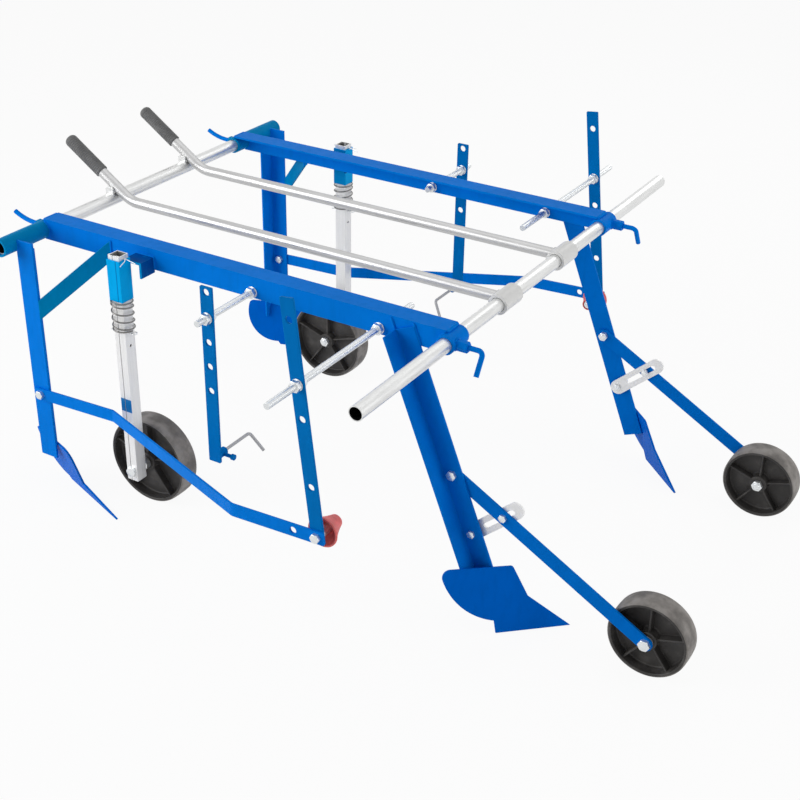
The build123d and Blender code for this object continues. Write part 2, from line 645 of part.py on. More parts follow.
# Post: a folded tube with an open seam, a second pin hole for a tighter spring, its pins and wheel bolt
top_pin = [(x, POST_Y, POST_PIN_Z) for x in TOP_PIN_X]
seat_pin = [(x, POST_Y, SEAT_PIN_Z) for x in SEAT_PIN_X]
with BuildPart() as post:
    with BuildSketch(Plane.XY.offset(POST_Z[0])):
        with Locations((POST_X, POST_Y)):
            Rectangle(POST_W, POST_W)
            Rectangle(POST_W - 2 * POST_WALL, POST_W - 2 * POST_WALL, mode=Mode.SUBTRACT)
        with Locations((POST_SEAM_X, POST_FACES[1])):
            Rectangle(POST_SEAM_W, 3 * POST_WALL, mode=Mode.SUBTRACT)
    extrude(amount=POST_Z[1] - POST_Z[0])
    hole(AXLE_R + FIT, POST_X, PRESS_WHEEL_R, *POST_FACES)
    rod(TOP_PIN_R + FIT, *top_pin, Mode.SUBTRACT)
    for drop in (0, SEAT_PIN_STEP):
        rod(SEAT_PIN_R + FIT, *[(x, y, z - drop) for x, y, z in seat_pin], Mode.SUBTRACT)
save_pair(post.part, "post")

with BuildPart() as post_fasteners:
    rod(TOP_PIN_R, *top_pin)
    rod(SEAT_PIN_R, *seat_pin)
    bolt(AXLE_R, POST_X, PRESS_WHEEL_R, POST_FACES[1], PRESS_WHEEL_Y[0] - PLAY, M12_AF)
    ring(SPACER_R, AXLE_R + FIT, POST_X, PRESS_WHEEL_R, PRESS_WHEEL_Y[1] + PLAY, POST_FACES[0])
save_pair(post_fasteners.part, "post_fasteners")

with BuildPart() as press_wheel:
    wheel(PRESS_WHEEL_R, *PRESS_WHEEL_Y, POST_X, PRESS_WHEEL_R)
save_pair(press_wheel.part, "press_wheel")


# Press spring: one wire, closed end turns, open turns between
def spring_height(turn):
    """Height of the wire centre above the lower end turn, and its slope per turn."""
    body = SPRING_Z[1] - SPRING_Z[0] - SPRING_WIRE - 2 * SPRING_SEAT_GAP
    active = (body - 2 * SPRING_END_PITCH) / (SPRING_TURNS - 2)
    if turn <= 1:
        height, slope = SPRING_END_PITCH * turn, SPRING_END_PITCH
    elif turn >= SPRING_TURNS - 1:
        height, slope = body - SPRING_END_PITCH * (SPRING_TURNS - turn), SPRING_END_PITCH
    else:
        height, slope = SPRING_END_PITCH + active * (turn - 1), active
    if turn in (1, SPRING_TURNS - 1):
        slope = (SPRING_END_PITCH + active) / 2
    return height, slope


def spring_point(turn):
    """Wire centre and unit tangent at a turn count."""
    height, slope = spring_height(turn)
    angle = 2 * pi * turn
    point = Vector(
        POST_X + SPRING_R * cos(angle),
        POST_Y + SPRING_R * sin(angle),
        SPRING_Z[0] + SPRING_SEAT_GAP + SPRING_WIRE / 2 + height,
    )
    tangent = Vector(-2 * pi * SPRING_R * sin(angle), 2 * pi * SPRING_R * cos(angle), slope).normalized()
    return point, tangent


def biarc(first, last):
    """Joint and tangent of the two arcs that join two points with given tangents."""
    (p0, t0), (p1, t1) = first, last
    v = p1 - p0
    t = t0 + t1
    q = 2 * (1 - t0.dot(t1))
    d = (-v.dot(t) + sqrt(v.dot(t) ** 2 + q * v.dot(v))) / q
    joint = (p0 + t0 * d + p1 - t1 * d) * 0.5
    return joint, (p1 - t1 * d - p0 - t0 * d).normalized()


stations = [spring_point(index / 4) for index in range(int(SPRING_TURNS * 4) + 1)]
with BuildPart() as post_spring:
    with BuildLine() as coil:
        first_point, first_tangent = stations[0]
        Line(first_point - first_tangent * SPRING_WIRE, first_point)
        for here, there in zip(stations, stations[1:]):
            joint, heading = biarc(here, there)
            TangentArc(here[0], joint, tangent=here[1])
            TangentArc(joint, there[0], tangent=heading)
        last_point, last_tangent = stations[-1]
        Line(last_point, last_point + last_tangent * SPRING_WIRE)
    with BuildSketch(Plane(origin=first_point - first_tangent * SPRING_WIRE, z_dir=first_tangent)):
        Circle(SPRING_WIRE / 2)
    sweep()
save_pair(post_spring.part, "post_spring")

samples = [edge @ (step / 12) for edge in coil.edges() for step in range(12)]
apart = int(pi * SPRING_R / (2 * pi * SPRING_R * SPRING_TURNS) * len(samples))
least = min((a - b).length for i, a in enumerate(samples) for b in samples[i + apart:]) - SPRING_WIRE
print(f"spring: least gap of the wire to itself {least:.2f} mm")

# Depth wheel arm, its bolts, link and wheel
arm_length = (Vector(FRONT_WHEEL_X, 0, FRONT_WHEEL_R) - Vector(PIVOT_X, 0, PIVOT_Z)).length
arm_plane = Plane(origin=(PIVOT_X, ARM_Y[1], PIVOT_Z), x_dir=ARM_DIR, z_dir=(0, -1, 0))
with BuildPart() as wheel_arm:
    with BuildSketch(arm_plane):
        with Locations((arm_length / 2, 0)):
            SlotCenterToCenter(arm_length, ARM_W)
        Circle(PIVOT_BOLT_R + FIT, mode=Mode.SUBTRACT)
        with Locations((ARM_BOLT, 0)):
            Circle(ARM_BOLT_R + BOLT_CLEAR, mode=Mode.SUBTRACT)
        with Locations((arm_length, 0)):
            Circle(AXLE_R + BOLT_CLEAR, mode=Mode.SUBTRACT)
    extrude(amount=ARM_Y[1] - ARM_Y[0])
save_pair(wheel_arm.part, "wheel_arm")

with BuildPart() as arm_bolts:
    bolt(AXLE_R, FRONT_WHEEL_X, FRONT_WHEEL_R, ARM_Y[1], FRONT_WHEEL_Y[0] - PLAY, M12_AF)
    ring(SPACER_R, AXLE_R + FIT, FRONT_WHEEL_X, FRONT_WHEEL_R, FRONT_WHEEL_Y[1] + PLAY, ARM_Y[0])
    bolt(ARM_BOLT_R, ARM_END.X, ARM_END.Z, ARM_Y[1], LINK_Y[0] - PLAY, M8_AF, *M8_HEIGHTS)
save_pair(arm_bolts.part, "arm_bolts")

link_dir = (ARM_END - LINK_BOLT).normalized()
link_reach = (ARM_END - LINK_BOLT).length
link_plane = Plane(origin=(LINK_BOLT.X, LINK_Y[1], LINK_BOLT.Z), x_dir=link_dir, z_dir=(0, -1, 0))
with BuildPart() as depth_link:
    with BuildSketch(link_plane):
        with Locations(((link_reach + LINK_PAST) / 2, 0)):
            SlotCenterToCenter(link_reach + LINK_PAST, LINK_W)
        Circle(ARM_BOLT_R + FIT, mode=Mode.SUBTRACT)
        with Locations((link_reach - SLOT_BACK, 0)):
            SlotCenterToCenter(SLOT_LENGTH, SLOT_W, mode=Mode.SUBTRACT)
    extrude(amount=LINK_Y[1] - LINK_Y[0])
save_pair(depth_link.part, "depth_link")

with BuildPart() as front_wheel:
    wheel(FRONT_WHEEL_R, *FRONT_WHEEL_Y, FRONT_WHEEL_X, FRONT_WHEEL_R)
save_pair(front_wheel.part, "front_wheel")

# Nuts, bolts and washers that stay with the side frame
with BuildPart() as frame_fasteners:
    for x, strip_y in ((HANGER_ROD_X, HANGER_Y), (GUIDE_ROD_X, GUIDE_Y)):
        for face in (BEAM_OUT, strip_y + STRIP_T / 2):
            nut(NUT_AF, x, ROD_Z, face, face + NUT_H, ROD_R + FIT)
            nut(NUT_AF, x, ROD_Z, face - STRIP_T - NUT_H, face - STRIP_T, ROD_R + FIT)
    bolt(PIVOT_BOLT_R, PIVOT_X, PIVOT_Z, BEAM_OUT + ANGLE_T, ARM_Y[0] - PLAY, M10_AF)
    bolt(ARM_BOLT_R, LINK_BOLT.X, LINK_BOLT.Z, BEAM_OUT + ANGLE_T, LINK_Y[0] - PLAY, M8_AF, *M8_HEIGHTS)
    ring(LINK_SPACER_R, ARM_BOLT_R + FIT, LINK_BOLT.X, LINK_BOLT.Z, LINK_Y[1] + PLAY, BEAM_OUT)
    bolt(PIVOT_BOLT_R, BAR_BOLT_X, BAR_BOLT_Z, bar_in + STRIP_T, REAR_LEG_Y, M10_AF)
    cone_nut = cone_tip + CONE_SINK - PLAY
    cone_head = bar_out + STRIP_T
    bolt(CONE_BOLT_R, CONE_X, CONE_Z, cone_head, cone_nut, M10_AF, *CONE_BOLT_HEIGHTS, CONE_BOLT_TAIL)
    spacer_in = cone_tip + CONE_NOSE + PLAY
    ring(CONE_SPACER_R, CONE_BOLT_R + FIT, CONE_X, CONE_Z, spacer_in, HANGER_Y - STRIP_T / 2)
save_pair(frame_fasteners.part, "frame_fasteners")
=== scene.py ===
"""Looks of a hand mulch film layer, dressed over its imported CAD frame.

Metres, +X forward, +Y left, +Z up, ground at Z = 0. Sizes given in millimetres carry the factor MM.
"""
import json
import logging
from dataclasses import dataclass, replace
from enum import Enum
from math import cos, pi, radians, sin, sqrt
from typing import Any, Callable, Iterable, Mapping, Sequence, Union

import bmesh
import bpy
from mathutils import Matrix, Vector


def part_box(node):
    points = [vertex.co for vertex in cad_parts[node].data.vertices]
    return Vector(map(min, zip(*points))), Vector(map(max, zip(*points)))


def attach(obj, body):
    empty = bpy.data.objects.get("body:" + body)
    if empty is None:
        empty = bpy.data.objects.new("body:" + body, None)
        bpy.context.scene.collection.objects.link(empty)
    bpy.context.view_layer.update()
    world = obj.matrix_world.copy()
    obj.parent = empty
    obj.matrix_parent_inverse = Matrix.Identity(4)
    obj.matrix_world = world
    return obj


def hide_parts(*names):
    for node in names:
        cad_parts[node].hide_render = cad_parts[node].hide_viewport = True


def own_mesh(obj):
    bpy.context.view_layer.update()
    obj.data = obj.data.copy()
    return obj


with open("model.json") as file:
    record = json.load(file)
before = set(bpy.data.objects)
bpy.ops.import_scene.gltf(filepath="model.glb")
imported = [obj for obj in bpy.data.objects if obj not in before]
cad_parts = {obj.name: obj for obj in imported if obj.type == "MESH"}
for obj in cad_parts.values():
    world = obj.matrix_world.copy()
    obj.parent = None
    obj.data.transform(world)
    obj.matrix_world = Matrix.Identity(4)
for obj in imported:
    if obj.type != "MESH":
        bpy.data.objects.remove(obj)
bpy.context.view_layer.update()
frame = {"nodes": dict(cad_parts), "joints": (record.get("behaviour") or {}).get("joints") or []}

LOG = logging.getLogger("film_layer")
MM = 0.001
TURN = 2 * pi
CREASE = 32.0
ROUND = (0.0, 360.0)
FLAT = (1.0, 0.0, 1.0)
ALONG_Y = Vector((0, 1, 0))
UP = Vector((0, 0, 1))
SEEN_RAYS = ("Is Camera Ray", "Is Glossy Ray", "Is Transmission Ray")

Pair = tuple[float, float]
Triple = tuple[float, float, float]
Colour = Triple
Profile = list[Pair]
Key = Union[int, str]
Radius = Callable[[float], float]


def middle_of(node: str) -> Vector:
    """Middle of a CAD node's box."""
    low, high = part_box(node)
    return (low + high) / 2


class Side(Enum):
    """The two side frames; the value is the sign of Y."""

    LEFT = 1.0
    RIGHT = -1.0

    def name_of(self, part: str) -> str:
        """Name of a node, body or joint on this side."""
        return f"{self.name.lower()}_{part}"

    def at(self, x: float, y: float, z: float) -> Vector:
        """Point that is given for the left side, carried to this side."""
        return Vector((x, self.value * y, z))

    def box(self, part: str) -> Sequence[Vector]:
        """Low and high corner of a CAD node on this side."""
        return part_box(self.name_of(part))

    def middle(self, part: str) -> Vector:
        """Middle of a CAD node's box on this side."""
        return middle_of(self.name_of(part))

    def reach(self, part: str) -> list[float]:
        """|Y| of the inboard and of the outboard end of a CAD node on this side."""
        return sorted(abs(corner.y) for corner in self.box(part))

    def joint(self, part: str) -> Vector:
        """Place of a joint on this side."""
        name = self.name_of(part)
        return Vector(next(j["pos_m"] for j in frame["joints"] if j["name"] == name))

    def spindle(self, x: float, y: float, z: float, out: float = 1.0) -> "Spindle":
        """Spindle from a point of the left side, outboard, or inboard for -1."""
        return Spindle(self.at(x, y, z), ALONG_Y * self.value * out, UP)


class Wire:
    """An output socket that takes part in Python arithmetic."""

    def __init__(self, board: "Board", socket: bpy.types.NodeSocket) -> None:
        """Keep the socket and the board that owns it."""
        self.board = board
        self.socket = socket

    def _math(self, operation: str, first: "Term", second: "Term") -> "Wire":
        """Result of one Math node on two values or sockets."""
        return self.board.node("ShaderNodeMath", {"operation": operation}, {0: first, 1: second})

    def __add__(self, other: "Term") -> "Wire":
        """Sum."""
        return self._math("ADD", self, other)

    def __radd__(self, other: "Term") -> "Wire":
        """Sum with a number on the left."""
        return self._math("ADD", other, self)

    def __sub__(self, other: "Term") -> "Wire":
        """Difference."""
        return self._math("SUBTRACT", self, other)

    def __rsub__(self, other: "Term") -> "Wire":
        """Difference from a number on the left."""
        return self._math("SUBTRACT", other, self)

    def __mul__(self, other: "Term") -> "Wire":
        """Product."""
        return self._math("MULTIPLY", self, other)

    def __rmul__(self, other: "Term") -> "Wire":
        """Product with a number on the left."""
        return self._math("MULTIPLY", other, self)

    def __or__(self, other: "Term") -> "Wire":
        """The larger of two values."""
        return self._math("MAXIMUM", self, other)

    def size(self) -> "Wire":
        """The value without its sign."""
        return self | -1 * self

    def step(self, low: float, high: float) -> "Wire":
        """Soft mask, 0 at the first level and 1 at the second, whichever is higher."""
        sockets = {"Value": self, "From Min": low, "From Max": high}
        return self.board.node("ShaderNodeMapRange", {"interpolation_type": "SMOOTHSTEP"}, sockets)


Term = Union[Wire, float]


class Board:
    """Node board of one material or of the world."""

    edge_band: Pair = (0.02, 0.22)

    def __init__(self, tree: bpy.types.NodeTree) -> None:
        """Take over an emptied node tree."""
        tree.nodes.clear()
        self.tree = tree

    def node(
        self,
        kind: str,
        settings: Mapping[str, Any] = {},
        sockets: Mapping[Key, Any] = {},
        out: Key = 0,
    ) -> Wire:
        """Add any node.

        Args:
            kind: Node type.
            settings: Attributes, set before the sockets.
            sockets: Values or links of the inputs by name or index.
            out: Output that is returned.

        Returns:
            The chosen output.
        """
        made = self.tree.nodes.new(kind)
        for name, value in settings.items():
            setattr(made, name, value)
        for key, value in sockets.items():
            if isinstance(value, Wire):
                self.tree.links.new(value.socket, made.inputs[key])
            else:
                made.inputs[key].default_value = value
        return Wire(self, made.outputs[out] if len(made.outputs) else None)

    def vector(self, operation: str, first: Any, second: Any, out: Key = 0) -> Wire:
        """Result of one Vector Math node."""
        sockets = {0: first, 1: second}
        return self.node("ShaderNodeVectorMath", {"operation": operation}, sockets, out)

    def place(self) -> Wire:
        """Place on the object, in metres of the shared frame."""
        return self.node("ShaderNodeTexCoord", out="Object")

    def axis(self, where: Wire, name: str) -> Wire:
        """One coordinate of a place."""
        return self.node("ShaderNodeSeparateXYZ", {}, {0: where}, out=name)

    def stretched(self, where: Wire, scale: Triple) -> Wire:
        """Place stretched along the axes."""
        return self.vector("MULTIPLY", where, scale)

    def noise(self, where: Wire, scale: float, detail: float) -> Wire:
        """Cloudy value between 0 and 1."""
        sockets = {"Vector": where, "Scale": scale, "Detail": detail}
        return self.node("ShaderNodeTexNoise", {}, sockets)

    def mix(self, factor: Term, first: Any, second: Any) -> Wire:
        """Blend of two colours; the factor is the share of the second."""
        sockets = {0: factor, 6: self.rgba(first), 7: self.rgba(second)}
        return self.node("ShaderNodeMix", {"data_type": "RGBA"}, sockets, out=2)

    def soft_edges(self, radius: float) -> Wire:
        """Normal that rounds the edges of a solid."""
        return self.node("ShaderNodeBevel", {"samples": 6}, {"Radius": radius}, out="Normal")

    def edge_mask(self, rounded: Wire) -> Wire:
        """Mask that rises near the edges, where the rounded normal leaves the true one."""
        true = self.node("ShaderNodeNewGeometry", out="True Normal")
        return (1 - self.vector("DOT_PRODUCT", rounded, true, "Value")).step(*self.edge_band)

    def bump(self, height: Wire, depth: float, normal: Wire) -> Wire:
        """Normal with a relief of a height in metres on top."""
        sockets = {"Height": height, "Distance": depth, "Strength": 1.0, "Normal": normal}
        return self.node("ShaderNodeBump", {}, sockets)

    def principled(self, sockets: Mapping[Key, Any]) -> Wire:
        """The surface shader."""
        return self.node("ShaderNodeBsdfPrincipled", {}, sockets)

    @staticmethod
    def rgba(colour: Any) -> Any:
        """Colour with its alpha, links passed through."""
        return colour if isinstance(colour, Wire) else (*colour, 1.0)


def shaded(colour: Colour, factor: float) -> Colour:
    """Colour made darker or lighter by a factor."""
    return tuple(min(1.0, channel * factor) for channel in colour)


def spread(colour: Colour, share: float) -> list[Colour]:
    """Colour made darker and lighter by the same share."""
    return [shaded(colour, 1 + hand * share) for hand in (-1, 1)]


@dataclass(frozen=True)
class Finish:
    """One finish: its name, record slot, colour and roughness."""

    name: str
    slot: str
    colour: Colour
    roughness: float

    def shade(self, board: Board) -> Wire:
        """Nodes of the finish; each kind of finish has its own."""
        raise NotImplementedError

    def marked(self, board: Board, where: Wire, tone: Wire) -> Wire:
        """Tone with the finish's own marks; a plain finish has none."""
        return tone

    def material(self) -> bpy.types.Material:
        """The finish as a material, made once.

        Returns:
            The material.
        """
        made = bpy.data.materials.get(self.name)
        if made is None:
            made = bpy.data.materials.new(self.name)
            made.use_nodes = True
            board = Board(made.node_tree)
            board.node("ShaderNodeOutputMaterial", {}, {"Surface": self.shade(board)})
        return made


@dataclass(frozen=True)
class Enamel(Finish):
    """Glossy brushed-on paint over mild steel."""

    sheen: Colour = (0.1, 0.5, 1.0)
    # Lighter blue at the edges: partly rubbed wear, partly a painted highlight.
    edge_wear_and_highlight: Colour = (0.01, 0.34, 0.8)
    gloss: float = 0.035
    cloud_scale: float = 11.0
    cloud_tones: Pair = (0.86, 1.1)
    run_scale: float = 90.0
    run_stretch: Triple = (1.0, 1.0, 0.2)
    run_band: Pair = (0.45, 0.75)
    run_share: float = 0.25
    run_tone: float = 0.72
    run_rough: float = 0.14
    fine_scale: float = 1100.0
    fine_share: float = 0.35
    relief: float = 0.12 * MM
    edge: float = 1.2 * MM
    wear_and_highlight_share: Pair = (0.25, 0.35)

    def shade(self, board: Board) -> Wire:
        """Paint with clouded tone, faint runs, and light edges that are partly rubbed wear and
        partly a painted highlight.

        Args:
            board: Board of the material.

        Returns:
            The shader.
        """
        where = board.place()
        cloud = board.noise(where, self.cloud_scale, detail=3.0)
        runs = board.noise(board.stretched(where, self.run_stretch), self.run_scale, detail=3.0)
        fine = board.noise(where, self.fine_scale, detail=1.0)
        rounded = board.soft_edges(self.edge)
        dark, light, run = (shaded(self.colour, f) for f in (*self.cloud_tones, self.run_tone))
        tone = self.marked(board, where, board.mix(cloud, dark, light))
        tone = board.mix(runs.step(*self.run_band) * self.run_share, tone, run)
        # Painted highlight and wear: the edges turn a lighter blue.
        edge_wear_and_shine = board.edge_mask(rounded) * (self.wear_and_highlight_share[0] + self.wear_and_highlight_share[1] * cloud)
        height = fine * self.fine_share + runs * (1 - self.fine_share)
        return board.principled(
            {
                "Base Color": board.mix(edge_wear_and_shine, tone, self.edge_wear_and_highlight),
                "Roughness": self.roughness + self.run_rough * runs,
                "Specular IOR Level": self.gloss,
                "Specular Tint": board.rgba(self.sheen),
                "Normal": board.bump(height, self.relief, rounded),
            }
        )


@dataclass(frozen=True)
class SleeveEnamel(Enamel):
    """Paint of the post sleeves: painted shade on the stub inboard of the sleeve, with the tube's
    seam on the outboard face.
    """

    # inboard: painted shade, a dark navy laid over the stub between beam and sleeve
    inboard: Colour = (0.0, 0.08, 0.34)
    stub_shade_band: Pair = (352.5 * MM, 351.5 * MM)
    seam: Colour = (0.0, 0.2, 0.56)
    seam_x: float = -374.8 * MM
    seam_band: Pair = (1.4 * MM, 0.7 * MM)
    face_band: Pair = (381.6 * MM, 381.9 * MM)

    def marked(self, board: Board, where: Wire, tone: Wire) -> Wire:
        """Tone with painted shade on the inboard stub faces, and the seam.

        Args:
            board: Board of the material.
            where: Place on the object.
            tone: Tone of the paint.

        Returns:
            The marked tone.
        """
        length, width = (board.axis(where, name) for name in "XY")
        out = width.size()
        # Painted shade: everything inboard of the sleeve turns dark navy.
        tone = board.mix(out.step(*self.stub_shade_band), tone, self.inboard)
        line = (length - self.seam_x).size().step(*self.seam_band)
        return board.mix(line * out.step(*self.face_band), tone, self.seam)


@dataclass(frozen=True)
class PlatedSteel(Finish):
    """Zinc on steel: drawn tube, plated bolts or spring wire."""

    metallic: float = 1.0
    streak: float = 0.12
    grain: float = 60.0
    drawn: Triple = (1.0, 1.0, 1.0)
    edge: float = 0.5 * MM
    near: float = 0.0
    near_soft: Pair = (0.6 * MM, 0.2 * MM)
    # Default: near-black painted shade for the inside of a tube's bore.
    bore_shade_and_collar_tone: Colour = (0.006, 0.006, 0.007)
    tube: Triple = (0.0, 0.0, 0.0)
    crystals: float = 2.5
    crystal_share: float = 0.1
    crystal_tone: float = 0.7
    relief: float = 0.05 * MM
    rough_spread: float = 0.18

    def shade(self, board: Board) -> Wire:
        """Metal with drawn streaks, faint crystals, soft edges, and another tone near a tube's
        axis: painted shade in a tube's bore, a plain non-metal tone on the handle's collar.

        Args:
            board: Board of the material.

        Returns:
            The shader.
        """
        where = board.place()
        cloud = board.noise(board.stretched(where, self.drawn), self.grain, detail=4.0)
        sockets = {"Vector": where, "Scale": self.grain * self.crystals}
        crystal = board.node("ShaderNodeTexVoronoi", {"feature": "F1"}, sockets, out="Color")
        tint = board.node("ShaderNodeSeparateColor", {}, {0: crystal}) * self.crystal_share
        tone = board.mix(cloud, *spread(self.colour, self.streak))
        tone = board.mix(tint, tone, shaded(self.colour, self.crystal_tone))
        metallic: Term = self.metallic
        if self.near:
            # Painted shade in a bore (near-black, metal turned off); on the handle, the collar's
            # plain tone.
            near_axis_mask = self.near_axis(board, where)
            tone = board.mix(near_axis_mask, tone, self.bore_shade_and_collar_tone)
            metallic = self.metallic * (1 - near_axis_mask)
        return board.principled(
            {
                "Base Color": self.marked(board, where, tone),
                "Metallic": metallic,
                "Roughness": self.roughness + self.rough_spread * (cloud - 0.5),
                "Normal": board.bump(cloud, self.relief, board.soft_edges(self.edge)),
            }
        )

    def near_axis(self, board: Board, where: Wire) -> Wire:
        """Mask of what lies close to the axis of a cross tube: its bore, or a collar on it."""
        out = board.vector("DISTANCE", board.stretched(where, FLAT), self.tube, "Value")
        return out.step(*(self.near + soft for soft in self.near_soft))


@dataclass(frozen=True)
class MarkedSteel(PlatedSteel):
    """Zinc on a hollow post, with a dab of blue paint on its outboard face and painted shade on its
    inner walls.
    """

    mark: Colour = (0.0, 0.2, 0.5)
    mark_z: Pair = (0.0, 0.0)
    mark_soft: float = 0.6 * MM
    face_band: Pair = (378.9 * MM, 379.4 * MM)
    centre: Pair = (-380.76 * MM, 367.0 * MM)
    hollow_shade_band: Pair = (10.8 * MM, 10.6 * MM)
    hollow_painted_shade: Colour = (0.32, 0.32, 0.32)

    def marked(self, board: Board, where: Wire, tone: Wire) -> Wire:
        """Tone with the dab of paint and painted shade on the inner walls.

        Args:
            board: Board of the material.
            where: Place on the object.
            tone: Tone of the steel.

        Returns:
            The painted tone.
        """
        length, width, height = (board.axis(where, name) for name in "XYZ")
        out = width.size()
        low, high = self.mark_z
        dab = height.step(low, low + self.mark_soft) * height.step(high, high - self.mark_soft)
        tone = board.mix(out.step(*self.face_band) * dab, tone, self.mark)
        # Painted shade: the post's inner walls turn dark grey.
        reach = (length - self.centre[0]).size() | (out - self.centre[1]).size()
        return board.mix(reach.step(*self.hollow_shade_band), tone, self.hollow_painted_shade)


@dataclass(frozen=True)
class Plastic(Finish):
    """Moulded plastic or rubber with a fine grain."""

    grain: float = 900.0
    relief: float = 0.08 * MM
    dust: Colour = (0.2, 0.19, 0.18)
    dusty: float = 0.25
    gloss: float = 0.35
    blotch: float = 0.22
    subsurface: float = 0.0
    scatter: float = 4.0 * MM
    cloud_scale: float = 35.0
    cloud_band: Pair = (0.3, 0.7)
    dust_band: Pair = (0.5, 0.75)
    edge: float = 0.8 * MM
    edge_dust: float = 0.4
    rough_spread: float = 0.15

    def shade(self, board: Board) -> Wire:
        """Grained plastic with a little dust.

        Args:
            board: Board of the material.

        Returns:
            The shader.
        """
        where = board.place()
        cloud = board.noise(where, self.cloud_scale, detail=5.0)
        fine = board.noise(where, self.grain, detail=2.0)
        rounded = board.soft_edges(self.edge)
        tone = board.mix(cloud.step(*self.cloud_band), *spread(self.colour, self.blotch))
        settled = cloud.step(*self.dust_band) + board.edge_mask(rounded) * self.edge_dust
        return board.principled(
            {
                "Base Color": board.mix(settled * self.dusty, tone, self.dust),
                "Roughness": self.roughness + self.rough_spread * fine,
                "Specular IOR Level": self.gloss,
                "Subsurface Weight": self.subsurface,
                "Subsurface Scale": self.scatter,
                "Normal": board.bump(fine, self.relief, rounded),
            }
        )


def seen(board: Board) -> Wire:
    """1 for camera, glossy and transmission rays, else 0."""
    camera, glossy, passed = (board.node("ShaderNodeLightPath", out=ray) for ray in SEEN_RAYS)
    return camera | glossy | passed


@dataclass(frozen=True)
class PaleFloor(Finish):
    """White floor that keeps the object's shadow."""

    lit: float = 0.93

    def shade(self, board: Board) -> Wire:
        """Diffuse floor, mostly plain white to the eye and in metal.

        Args:
            board: Board of the material.

        Returns:
            The shader.
        """
        diffuse = board.node("ShaderNodeBsdfDiffuse", {}, {"Color": board.rgba(self.colour)})
        white = board.node("ShaderNodeEmission", {}, {"Strength": 1.0})
        shares = {0: seen(board) * self.lit, 1: diffuse, 2: white}
        return board.node("ShaderNodeMixShader", {}, shares)


# One blue paint in six copies, each lighter or darker per part for how light falls on it: painted
# light and shade.
FRAME_BLUE = Enamel("frame enamel", "blue_paint", (0.0, 0.21, 0.8), 0.36)
LEG_BLUE = Enamel("leg enamel", "blue_paint", (0.0, 0.18, 0.7), 0.38)
SHARE_BLUE = Enamel("share enamel", "blue_paint", (0.0, 0.15, 0.7), 0.38)
SLEEVE_BLUE = SleeveEnamel("sleeve enamel", "blue_paint", (0.0, 0.44, 1.0), 0.34)
BRACE_BLUE = Enamel("brace enamel", "blue_paint", (0.0, 0.25, 0.56), 0.38)
STRIP_BLUE = Enamel("strip enamel", "blue_paint", (0.0, 0.18, 0.56), 0.38)
# Galvanised zinc in copies lighter or darker per part, the post lightest and the handles darkest,
# for how light falls on each: painted light and shade.
FRONT_ZINC = PlatedSteel(
    "front tube zinc", "galvanised", (0.76, 0.765, 0.76), 0.34, metallic=0.75, streak=0.2,
    # near: painted shade in the tube's bore
    grain=240.0, drawn=(1.0, 0.05, 1.0), near=10.7 * MM,
    tube=(267.24 * MM, 0.0, 518.5 * MM),
)
REAR_ZINC = replace(FRONT_ZINC, name="rear tube zinc", tube=(-612.76 * MM, 0.0, 518.5 * MM))
HANDLE_ZINC = replace(
    FRONT_ZINC, name="handle zinc", colour=(0.54, 0.54, 0.54), drawn=(0.05, 1.0, 1.0),
    near=18.6 * MM, bore_shade_and_collar_tone=(0.8, 0.8, 0.79),
)
BOLT_ZINC = PlatedSteel(
    "plated bolt", "zinc", (0.78, 0.8, 0.81), 0.3, metallic=0.8, grain=140.0, edge=0.3 * MM
)
POST_ZINC = MarkedSteel(
    "post zinc", "galvanised", (0.93, 0.93, 0.925), 0.38, metallic=0.3, grain=240.0,
    drawn=(1.0, 1.0, 0.05), mark_z=(222.0 * MM, 250.0 * MM),
)
LINK_ZINC = PlatedSteel("plated link", "zinc", (0.92, 0.92, 0.92), 0.36, metallic=0.3)
THREAD_ZINC = PlatedSteel(
    "rolled thread", "zinc", (0.74, 0.76, 0.77), 0.24, metallic=0.85, streak=0.06, grain=140.0
)
WIRE_GREY = PlatedSteel(
    "dull wire", "galvanised", (0.42, 0.42, 0.43), 0.5, metallic=0.4, grain=140.0
)
SPRING_WIRE = PlatedSteel(
    "spring wire", "spring_steel", (0.2, 0.195, 0.19), 0.34, grain=220.0, edge=0.2 * MM
)
# The tread's lighter grey is partly dust and wear, partly a painted sheen; the web stays dark.
WHEEL_BLACK = Plastic("wheel plastic", "wheel_plastic", (0.045, 0.042, 0.04), 0.46)
TREAD_GREY = Plastic(
    "scuffed tread", "wheel_plastic", (0.21, 0.195, 0.182), 0.5,
    dust=(0.3, 0.29, 0.28), dusty=0.4, blotch=0.4,
)
GRIP_BLACK = Plastic(
    "grip rubber", "grip_rubber", (0.175, 0.175, 0.175), 0.62,
    grain=600.0, relief=0.15 * MM, gloss=0.2,
)
CONE_RED = Plastic(
    "cone plastic", "cone_plastic", (0.8, 0.16, 0.15), 0.42,
    dust=(0.82, 0.34, 0.3), dusty=0.2, subsurface=0.1,
)
FLOOR_WHITE = PaleFloor("pale floor", "", (0.86, 0.86, 0.86), 0.9)

